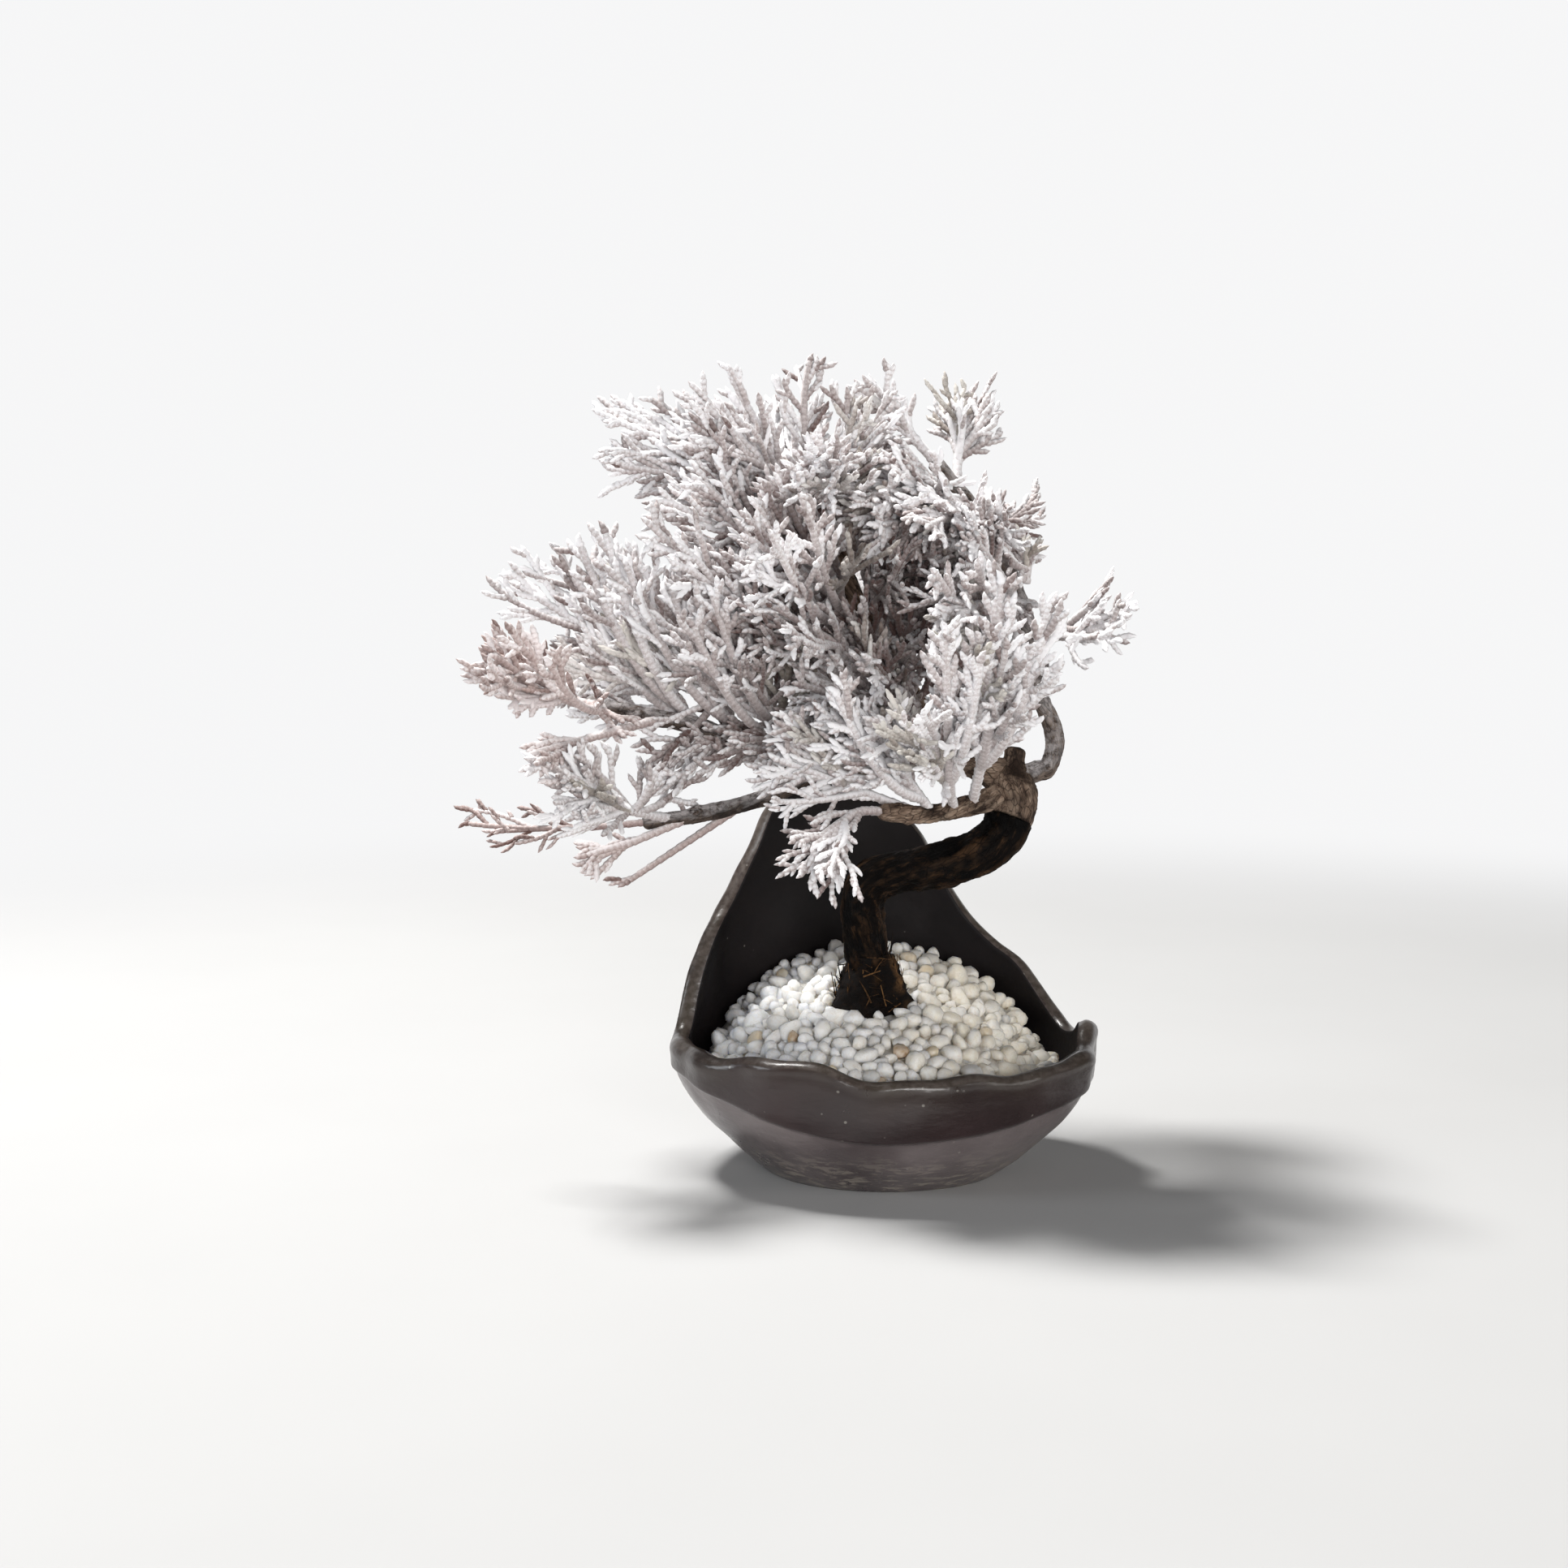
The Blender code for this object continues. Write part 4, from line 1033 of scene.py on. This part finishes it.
def depth_of(line):
    """0 in the heart of the tree, 1 on its outside."""
    out = np.linalg.norm((line - TREE_HEART) / HEART_REACH, axis=1)
    return np.clip((out - 0.35) / 0.55, 0, 1)


def scaly(size, left, radius, widths, depths):
    """A cord's half widths and half depths at its rings, with crossed pairs of scales, round at its end."""
    size = size * np.sqrt(0.25 + 0.75 * np.clip(left / (1.3 * radius), 0.0, 1.0))
    first = (np.arange(len(size)) // 3) % 2 == 0
    return size * np.where(first, *widths), size * np.where(first, *depths)


def cord_with_frost_and_light(strands, line, ahead, side, sizes, level, hue, radius):
    """Adds a cord with a colour for each vertex: how frosted it is, with painted highlight and shade in
    that value, and how far it has its own tint.
    """
    through = np.cross(ahead, side)
    facing_up = (side[:, None, :] * COS + through[:, None, :] * SIN)[:, :, 2]
    values = np.ones((len(line), SIDES, 4))
    # Upward faces: more frost, and a painted highlight.
    values[:, :, 0] = np.clip((level + strands.dusting)[:, None] + TOP_FROST_AND_HIGHLIGHT * facing_up, 0, 1)
    values[:, :, 1] = hue
    strands.tube(line, side, through, *sizes, values, line[-1] + ahead[-1] * radius * 0.7)


def leaf_strand(strands, start, run, normal, length, radius, curl, random, hue):
    """One branchlet of overlapping scale leaves, flattened in its frond's plane."""
    rows = max(4, int(length / STEP) + 1)
    s = np.arange(rows) * STEP
    share = s / s[-1]
    sway = random.normal() * 0.10
    angle = curl * share ** 1.2 + sway * np.sin(share * 3.0)
    lift = random.normal() * 0.15 * share
    across = np.cross(normal, run)
    ahead = unit(run[None, :] * np.cos(angle)[:, None] + across[None, :] * np.sin(angle)[:, None]
                 + normal[None, :] * lift[:, None])
    line = start + np.concatenate([[np.zeros(3)], np.cumsum(ahead[:-1] * STEP, axis=0)])
    phase = np.arange(rows) % 3
    sizes = scaly(radius * (1 - 0.14 * share) * SAW[phase], s[-1] - s, radius, (1.08, 0.95), (0.80, 0.92))
    # Less frost, and painted shade, towards the heart of the tree.
    level = 0.44 + 0.26 * depth_of(line) + 0.16 * share + SAW_FROST_AND_SHADE[phase] + random.normal() * 0.20
    cord_with_frost_and_light(strands, line, ahead, unit(np.cross(normal, ahead)), sizes, level, hue, radius)
    return line, ahead


def frond(strands, axis, normals, half_width, random, radius, hue, first, density, main=False):
    """A flat spray: a frosted stem with branchlets on both sides, some of them forked."""
    mark = strands.mark()
    along = lengths_of(axis)
    total = along[-1]
    rows = max(5, int(total / STEP))
    wanted = np.linspace(0, total, rows)
    line = interpolated(axis, along, wanted)
    normal = unit(interpolated(normals, along, wanted))
    ahead = unit(np.gradient(line, axis=0))
    side = unit(np.cross(normal, ahead))
    phase = np.arange(rows) % 3
    size = radius * (1.30 - 0.40 * (wanted / total)) * (0.55 + 0.45 * SAW[phase])
    sizes = scaly(size, total - wanted, radius, (1.08, 0.98), (0.86, 0.98))
    # Less frost, and painted shade, towards the heart of the tree.
    level = 0.52 + 0.20 * depth_of(line) + SAW_FROST_AND_SHADE[phase] * 0.6
    cord_with_frost_and_light(strands, line, ahead, side, sizes, level, hue, radius)
    if not main and strands.cut_back(mark):
        return
    spacing = BRANCH_SPACING / density
    station = first * total + random.uniform(0, spacing)
    hand = random.choice([-1.0, 1.0])
    while station < total - 1.5:
        place = station / total
        i = min(int(place * rows), rows - 1)
        outline = math.sin(math.pi * min(1.0, (0.15 + 0.85 * place) ** 0.8)) ** 0.6
        angle = math.radians(random.uniform(26, 52) - 8 * place)
        reach = half_width * (0.40 + 0.70 * outline) * random.uniform(0.55, 1.3)
        length = min(reach / math.sin(angle) * 0.85 + 1.5, (total - station) * 1.15 + 5.0)
        out = rotated(ahead[i], normal[i], hand * angle)
        out = unit(out + normal[i] * random.normal() * 0.30)
        plane = unit(normal[i] + ahead[i] * random.normal() * 0.2 + side[i] * random.normal() * 0.3)
        plane = unit(plane - out * (plane @ out))
        forked(strands, line[i], out, plane, length, radius, -hand, random, hue)
        hand = -hand if random.uniform() > 0.12 else hand
        station += spacing * random.uniform(0.7, 1.35)
    forked(strands, line[-2], ahead[-1], normal[-1], 4.0, radius, hand, random, hue)


def forked(strands, start, out, plane, length, radius, hand, random, hue):
    """A branchlet that ends in short forks."""
    mark = strands.mark()
    if out[2] > 0:
        length = min(length, max(1.5, (CROWN_TOP - start[2]) / out[2]))
    twig, ahead = leaf_strand(strands, start, out, plane, length, radius * 0.92,
                              hand * random.uniform(0.0, 0.9), random, hue)
    spot = max(random.uniform(0.30, 0.60) * length, 2.4)
    turn = -hand
    while spot < length - 1.6:
        j = min(int(spot / STEP), len(twig) - 1)
        run = rotated(ahead[j], plane, turn * math.radians(random.uniform(24, 50)))
        small = min(random.uniform(2.8, 8.0), 0.9 * (length - spot) + 2.8)
        leaf_strand(strands, twig[j], run, plane, small, radius * 0.84,
                    -turn * random.uniform(0.1, 0.7), random, hue)
        turn = -turn
        spot += random.uniform(2.7, 5.2)
    strands.cut_back(mark)


CORD_ROOM = 2.9       # nearest that two cords' middles come while a spray turns
TURN_STEPS = 11
STEM_RADIUS = 0.9     # of the CAD model's sprays


def turning_passage(turned):
    """Everywhere that the cords of the turning sprays pass, as a search tree with its boxes."""
    places, boxes = [], []
    for joint in MOTION["joints"]:
        lines = np.vstack([line[::2] for line in turned[joint["child"]]])
        middle, axis = np.array(joint["pos_m"]) / MM, np.array(joint["axis"], float)
        low, high = joint["range_deg"]
        arm = lines - middle
        along = (arm @ axis)[:, None] * axis
        for angle in np.radians(np.linspace(low, high, TURN_STEPS)):
            spun = (arm * math.cos(angle) + np.cross(axis, arm) * math.sin(angle)
                    + along * (1 - math.cos(angle)))
            places.append(middle + spun)
        swept = np.vstack(places[-TURN_STEPS:])
        boxes.append((swept.min(0) - CORD_ROOM, swept.max(0) + CORD_ROOM))
    places = np.vstack(places)
    tree = kdtree.KDTree(len(places))
    for i, place in enumerate(places):
        tree.insert(place, i)
    tree.balance()
    return tree, boxes


def meets(passage, line):
    """Whether a cord comes into the passage of a turning spray."""
    tree, boxes = passage
    if not any((line.max(0) > low).all() and (line.min(0) < high).all() for low, high in boxes):
        return False
    return any(tree.find(place)[2] < CORD_ROOM for place in line[::2])


def spray_rings(node):
    """The CAD spray's cross-sections, from its root to its tip, in millimetres."""
    shape = bmesh.new()
    shape.from_mesh(NODES[node].data)
    bmesh.ops.remove_doubles(shape, verts=shape.verts, dist=0.00001)
    shape.verts.ensure_lookup_table()
    points = np.array([v.co for v in shape.verts]) / MM
    far = int(np.argmax(np.linalg.norm(points - points.mean(0), axis=1)))
    other = int(np.argmax(np.linalg.norm(points - points[far], axis=1)))
    best = None
    for end in (far, other):
        ring = np.argsort(np.linalg.norm(points - points[end], axis=1))[:SIDES]
        size = np.linalg.norm(points[ring] - points[ring].mean(0), axis=1)
        fault = abs(size.max() - STEM_RADIUS) + abs(size.min() - STEM_RADIUS)
        if best is None or fault < best[0]:
            best = (fault, ring)
    seen = set(int(i) for i in best[1])
    rings = [sorted(seen)]
    while len(seen) < len(points):
        grown = sorted({e.other_vert(shape.verts[i]).index for i in rings[-1]
                        for e in shape.verts[i].link_edges} - seen)
        if not grown:
            break
        seen.update(grown)
        rings.append(grown)
    shape.free()
    return [points[r] for r in rings]


# Sprays, named without their "spray_": the share of the stem that is bare, how closely it branches,
# side fronds and their widest swing
USUAL = (0.28, 1.0, 6, 50)
HABITS = {
    "far_left": (0.42, 0.55, 1, 24), "low_droop": (0.36, 0.6, 1, 16),
    "low_twig": (0.90, 0.6, 0, 0), "low_front": (0.30, 0.9, 5, 44),
    "far_right": (0.25, 0.55, 3, 34), "top_spike": (0.28, 1.1, 0, 0),
    "left_near": (0.30, 0.8, 5, 34), "right_top": (0.30, 1.0, 2, 16),
    "front_low": (0.25, 1.0, 3, 26), "back_up": (0.30, 1.0, 3, 28),
    "left_warm": (0.26, 1.0, 8, 60), "left_fan": (0.28, 1.0, 8, 64),
    "left_fan_inner": (0.28, 1.0, 9, 70), "left_upper": (0.28, 1.0, 8, 56),
    "left_rear": (0.28, 1.0, 8, 64), "mid_left": (0.26, 1.0, 9, 66),
    "centre_low": (0.24, 1.0, 10, 70), "mid_front": (0.26, 1.0, 9, 66),
    "mid_front_low": (0.26, 1.0, 9, 66), "crown_left": (0.26, 1.0, 9, 66),
    "crown_inner": (0.24, 1.0, 10, 66), "crown_right": (0.24, 1.0, 10, 66),
    "right_front": (0.26, 1.0, 8, 56), "right_front_low": (0.26, 1.0, 7, 50),
    "top_front": (0.26, 1.0, 8, 60), "top_inner": (0.26, 1.0, 7, 56),
    "front_right": (0.28, 0.9, 5, 44), "right_side": (0.25, 1.0, 6, 60),
}
CORD_RADIUS = 1.18
SIDE_FRONDS = 1.5     # how many side fronds, against the table above
FILLERS = {           # side fronds that are led to a given place, in millimetres
    "left_fan_inner": ((-60, -10, 132), (-50, -12, 131), (-46, -6, 140), (-62, -2, 140)),
    "left_fan": ((-70, -14, 130), (-64, -16, 124), (-76, -16, 138), (-56, 6, 134)),
    "left_near": ((-86, -24, 150), (-80, -20, 142)),
    "left_warm": ((-78, -26, 146), (-84, -34, 140), (-90, -20, 134)),
    "low_front": ((-80, -22, 130), (-70, -20, 124), (-70, -10, 123), (-62, -8, 121)),
    "centre_low": ((-42, -20, 136), (-34, -30, 134), (-38, -4, 132), (6, -18, 158),
                         (12, -14, 164), (2, -22, 152), (15, -10, 157)),
    "crown_inner": ((8, -6, 182), (14, -2, 172), (2, -4, 190), (20, 4, 186)),
    "crown_right": ((10, -10, 176), (16, -8, 186), (6, -14, 166), (18, -14, 172)),
    "right_side": ((32, 2, 178), (26, 6, 170), (38, 4, 190)),
    "right_front_low": ((22, -20, 164), (14, -18, 158), (30, -16, 158)),
    "mid_front": ((-6, -12, 190), (-2, -18, 182)),
    "mid_front_low": ((-8, -16, 170), (0, -20, 162), (9, -18, 168), (15, -8, 173), (5, -24, 161)),
    "top_front": ((-8, -12, 206), (-16, -16, 200)),
    "crown_left": ((6, -8, 206), (14, -6, 210), (0, -10, 212)),
    "right_front": ((24, -8, 206), (34, -4, 200)),
}
ARCS = {              # long bare cords with a forked end, led to a given place, in millimetres
    "left_fan": ((-77, -26, 187), (-64, -20, 180)),
    "left_fan_inner": ((-52, -34, 180), (-58, -36, 171), (-46, -26, 190)),
    "left_upper": ((-92, -14, 194), (-84, -22, 198)),
    "left_near": ((-99, -40, 160), (-107, -38, 168)),
    "mid_left": ((-70, -32, 200), (-62, -36, 190)),
    "left_warm": ((-92, -46, 152),),
    "mid_front": ((-34, -52, 196), (-24, -50, 204)),
    "front_right": ((44, -58, 176), (30, -60, 184)),
    "front_right_inner": ((14, -66, 170), (24, -64, 162)),
    "right_front_low": ((12, -56, 186), (24, -52, 188)),
    "front_mid": ((-16, -54, 152),),
}
TONES = {             # how much more or less frosted a spray is, and how thick its cords are
    "far_left": (-0.34, 0.72), "low_twig": (-0.24, 0.85), "low_droop": (-0.12, 0.92),
    "left_warm": (-0.14, 1.0), "left_near": (-0.06, 1.0), "top_spike": (-0.20, 0.9),
    "back_left": (-0.10, 1.0), "back_right": (-0.10, 1.0), "back_low": (-0.15, 1.0),
    "right_rear": (-0.12, 1.0), "far_right": (0.08, 1.05), "front_right": (0.06, 1.08),
    "front_right_inner": (0.06, 1.05), "front_mid": (0.05, 1.0), "front_low": (-0.28, 1.0),
}
# Led fronds: where they start, points, bend, widest turn, dusting, half width, thickness, bare share,
# and how closely they branch
FILLER = ((0.16, 0.36), 9, -0.32, 0.9, (-0.34, 0.04), 9.0, 0.95, 0.25, 1.0)
ARC = ((0.10, 0.26), 13, 0.56, 0.6, (-0.08, 0.10), 7.5, 1.08, 0.55, 0.9)
DROOP = np.array([0.0, -0.35, -1.0])
TOWARDS_VIEWER = np.array([0.1, -1.0, 0.25])
MOVING_SPREAD = 0.90  # width of the main frond, against the blade's
FIXED_SPREAD = 1.05
TOP_ROOM = 7.0
REACH_OUT = 5.5       # side fronds end this near to some blade of the CAD model
HEART_OUT = 20.0      # and as much more in the heart of the tree
TIP_CUT = 3.0         # a stem stops this short of its blade's tip, and its last fork fills the rest


def blade_points():
    """Corners of every CAD blade, with points between them along each blade."""
    found = []
    for node in SPRAYS:
        rings = spray_rings(node)
        centres = np.array([r.mean(0) for r in rings])[2:]
        found += [centres, (centres[:-1] + centres[1:]) / 2, *rings[3:]]
    return np.vstack(found)


def planes_along(line, plane):
    """Normals at right angles to a line, as near as they can be to a plane's normal."""
    way = unit(np.gradient(line, axis=0))
    return unit(np.cross(way, np.cross(plane, way)))


def led_fronds(strands, axis, ahead, targets, style, random, radius):
    """Fronds from a stem to given places: fillers bend out from it, and arcs droop."""
    starts, count, bend, turn, dusting, half_width, thickness, bare, density = style
    for target in targets:
        i = int(random.uniform(*starts) * (len(axis) - 1))
        gap = np.array(target, float) - axis[i]
        s = np.linspace(0, 1, count)[:, None]
        sag = DROOP if style is ARC else unit(np.cross(gap, np.cross(ahead[i], gap) + 0.01))
        line = axis[i] + gap * s + sag * np.linalg.norm(gap) * bend * s * (1 - s)
        planes = planes_along(line, rotated(TOWARDS_VIEWER, gap, random.uniform(-turn, turn)))
        strands.dusting = random.uniform(*dusting)
        frond(strands, line, planes, half_width, random, radius * thickness, 0.0, bare, density)


def foliage(node, material, blades, passage=None):
    """The leaves of one spray: a main frond on its stem, led fronds, then side ones where there is room."""
    random = seeded(node)
    name = node.removeprefix("spray_")
    bare, density, extras, widest_swing = HABITS.get(name, USUAL)
    tone, thickness = TONES.get(name, (0.0, 1.0))
    radius = CORD_RADIUS * thickness
    rings = spray_rings(node)
    widest = max(rings, key=lambda r: np.linalg.norm(r[:, None] - r[None], axis=2).max())
    spans = np.linalg.norm(widest[:, None] - widest[None], axis=2)
    a, b = np.unravel_index(int(np.argmax(spans)), spans.shape)
    half_width = spans[a, b] / 2
    flat = unit(widest[a] - widest[b])
    axis = smooth_points(np.array([r.mean(0) for r in rings]), 5)
    ahead = unit(np.gradient(axis, axis=0))
    normals = unit(np.cross(ahead, np.broadcast_to(flat, ahead.shape)))
    total = lengths_of(axis)[-1]
    shown = lengths_of(axis) < total - TIP_CUT
    axis, ahead, normals = axis[shown], ahead[shown], normals[shown]
    strands = Strands(passage)
    strands.dusting = tone
    spread = half_width * (MOVING_SPREAD if passage is None else FIXED_SPREAD)
    frond(strands, axis, normals, spread, random, radius, 0.0, bare, density, True)
    led_fronds(strands, axis, ahead, FILLERS.get(name, ()), FILLER, random, radius)
    led_fronds(strands, axis, ahead, ARCS.get(name, ()), ARC, random, radius)
    wanted = int(extras * SIDE_FRONDS)
    tries = wanted * 8
    while wanted and tries:
        tries -= 1
        i = int(random.uniform(0.20, 0.64) * (len(axis) - 1))
        swing = math.radians(random.uniform(0.35, 1.0) * widest_swing)
        around = random.uniform(0, 2 * math.pi)
        hinge = unit(normals[i] * math.cos(around) + flat * math.sin(around))
        run = rotated(ahead[i], hinge, swing)
        bow = rotated(run, hinge, -swing * 0.5)
        reach = total * random.uniform(0.36, 0.66)
        s = np.linspace(0, 1, 9)[:, None]
        line = axis[i] + (run * s * (1 - 0.4 * s) + bow * 0.4 * s * s) * reach
        plane = rotated(normals[i], run, random.uniform(-1.1, 1.1))
        inner = 1 - float(depth_of(line[-1:])[0])
        off_blades = np.linalg.norm(blades - line[-1], axis=1).min() > REACH_OUT + HEART_OUT * inner
        if off_blades or line[-1, 2] > CROWN_TOP - TOP_ROOM or in_pot(line):
            continue
        wanted -= 1
        tint = 0.0 if random.uniform() > 0.18 else random.uniform(0.35, 0.8)
        # Darker towards the heart of the tree: less frost there, and painted shade.
        strands.dusting = tone + random.uniform(-0.20, 0.16) - random.uniform(0.0, 0.32) * inner
        width = half_width * random.uniform(0.55, 0.85) + 1.5
        frond(strands, line, planes_along(line, plane), width, random,
              radius * random.uniform(0.82, 1.05), tint, 0.25, density)
    stands_for(strands.made(node + "_leaves", material, "frost_and_painted_light"), node)
    return strands.lines


def in_pot(line):
    """Whether a stem's outer half comes near the pot's wall."""
    for x, y, z in line[4:]:
        across, deep = x / RIM_HALF_WIDTH, y / RIM_HALF_DEPTH
        angle = math.degrees(math.atan2(across, deep)) % 360
        if z < closed_curve_value(RIM_HEIGHTS, angle) + 6.0 and math.hypot(across, deep) < 1.15:
            return True
    return False


def all_foliage():
    blades = blade_points()
    frosted = foliage_material("frosted_leaves", (0.105, 0.055, 0.046), (0.52, 0.465, 0.458),
                               (0.88, 0.870, 0.885), (0.50, 0.45, 0.36))
    warm = foliage_material("warm_leaves", (0.12, 0.058, 0.047), (0.50, 0.405, 0.385),
                            (0.84, 0.79, 0.79), (0.62, 0.41, 0.34))
    surfaces = {node: warm if SLOT_OF[node] == "warm_foliage" else frosted for node in SPRAYS}
    turned = {BODY_OF[node]: foliage(node, surfaces[node], blades)
              for node in SPRAYS if BODY_OF[node] != ROOT}
    passage = turning_passage(turned)
    for node in SPRAYS:
        if BODY_OF[node] == ROOT:
            foliage(node, surfaces[node], blades, passage)


# Stage

SWEEP_HALF_WIDTH = 4.0
SWEEP_FRONT = -3.0
SWEEP_BACK = 1.6      # where the floor starts to bend up
SWEEP_RADIUS = 0.9
SWEEP_TOP = 1.15
SWEEP_DROP = 0.0001
BEND_STEPS = 12


def paper_material():
    """White paper: matt near the object, and glowing evenly further off, as if lit on its own."""
    n = Nodes("paper_white")
    wide = n.noise(6, 3)
    away = n.node("VectorMath", {0: n.place()}, operation="LENGTH").outputs["Value"]
    far = n.node("MapRange", {"Value": away, "From Min": 0.38, "From Max": 0.95},
                 interpolation_type="SMOOTHERSTEP").outputs["Result"]
    near_colour = n.ramp(wide, (0.3, (0.515, 0.515, 0.515)), (0.7, (0.53, 0.53, 0.53)))
    body = n.mix(far, near_colour, (0.0, 0.0, 0.0))
    n.put(n.shader.inputs["Emission Color"], (0.925, 0.925, 0.93))
    n.put(n.shader.inputs["Emission Strength"], far)
    return n.finish(body, n.span(wide, 0.3, 0.7, 0.85, 0.95), Specular_IOR_Level=0.0)


def stage():
    """A paper sweep under and behind the object, a dim sky and the lights."""
    profile = [(SWEEP_FRONT, 0.0), (SWEEP_BACK, 0.0)]
    for k in range(1, BEND_STEPS + 1):
        swing = math.pi / 2 * k / BEND_STEPS
        profile.append((SWEEP_BACK + SWEEP_RADIUS * math.sin(swing),
                        SWEEP_RADIUS * (1 - math.cos(swing))))
    profile.append((SWEEP_BACK + SWEEP_RADIUS, SWEEP_TOP))
    points = [(x, y, z - SWEEP_DROP) for y, z in profile for x in (-SWEEP_HALF_WIDTH, SWEEP_HALF_WIDTH)]
    quads = [(2 * k, 2 * k + 1, 2 * k + 3, 2 * k + 2) for k in range(len(profile) - 1)]
    mesh_object("studio_sweep", points, quads, [], paper_material())
    world = bpy.data.worlds.new("studio")
    bpy.context.scene.world = world
    world.use_nodes = True
    sky = world.node_tree.nodes["Background"]
    sky.inputs["Color"].default_value = (0.96, 0.97, 1.0, 1.0)
    sky.inputs["Strength"].default_value = 0.07
    lights()
    bpy.context.scene.view_settings.view_transform = "Standard"


def hidden_pieces():
    """Materials for the pieces inside, which are shown as the CAD model has them."""
    looks = {
        "foam_block": plain_material("floral_foam", (0.055, 0.085, 0.040), (0.11, 0.15, 0.08), 900,
                                     0.92, depth=0.0005),
        "anchor_rod": plain_material("drawn_steel", (0.42, 0.42, 0.43), (0.60, 0.60, 0.61), 500,
                                     0.32, 1.0, (1, 1, 0.05)),
        "crown_dowel": plain_material("beech", (0.42, 0.27, 0.14), (0.58, 0.40, 0.24), 500,
                                      0.6, 0.0, (1, 1, 0.15)),
    }
    for node, material in looks.items():
        NODES[node].data.materials.clear()
        NODES[node].data.materials.append(material)


camera()
stage()
pot()
gravel()
wood()
root_clump()
all_foliage()
hidden_pieces()
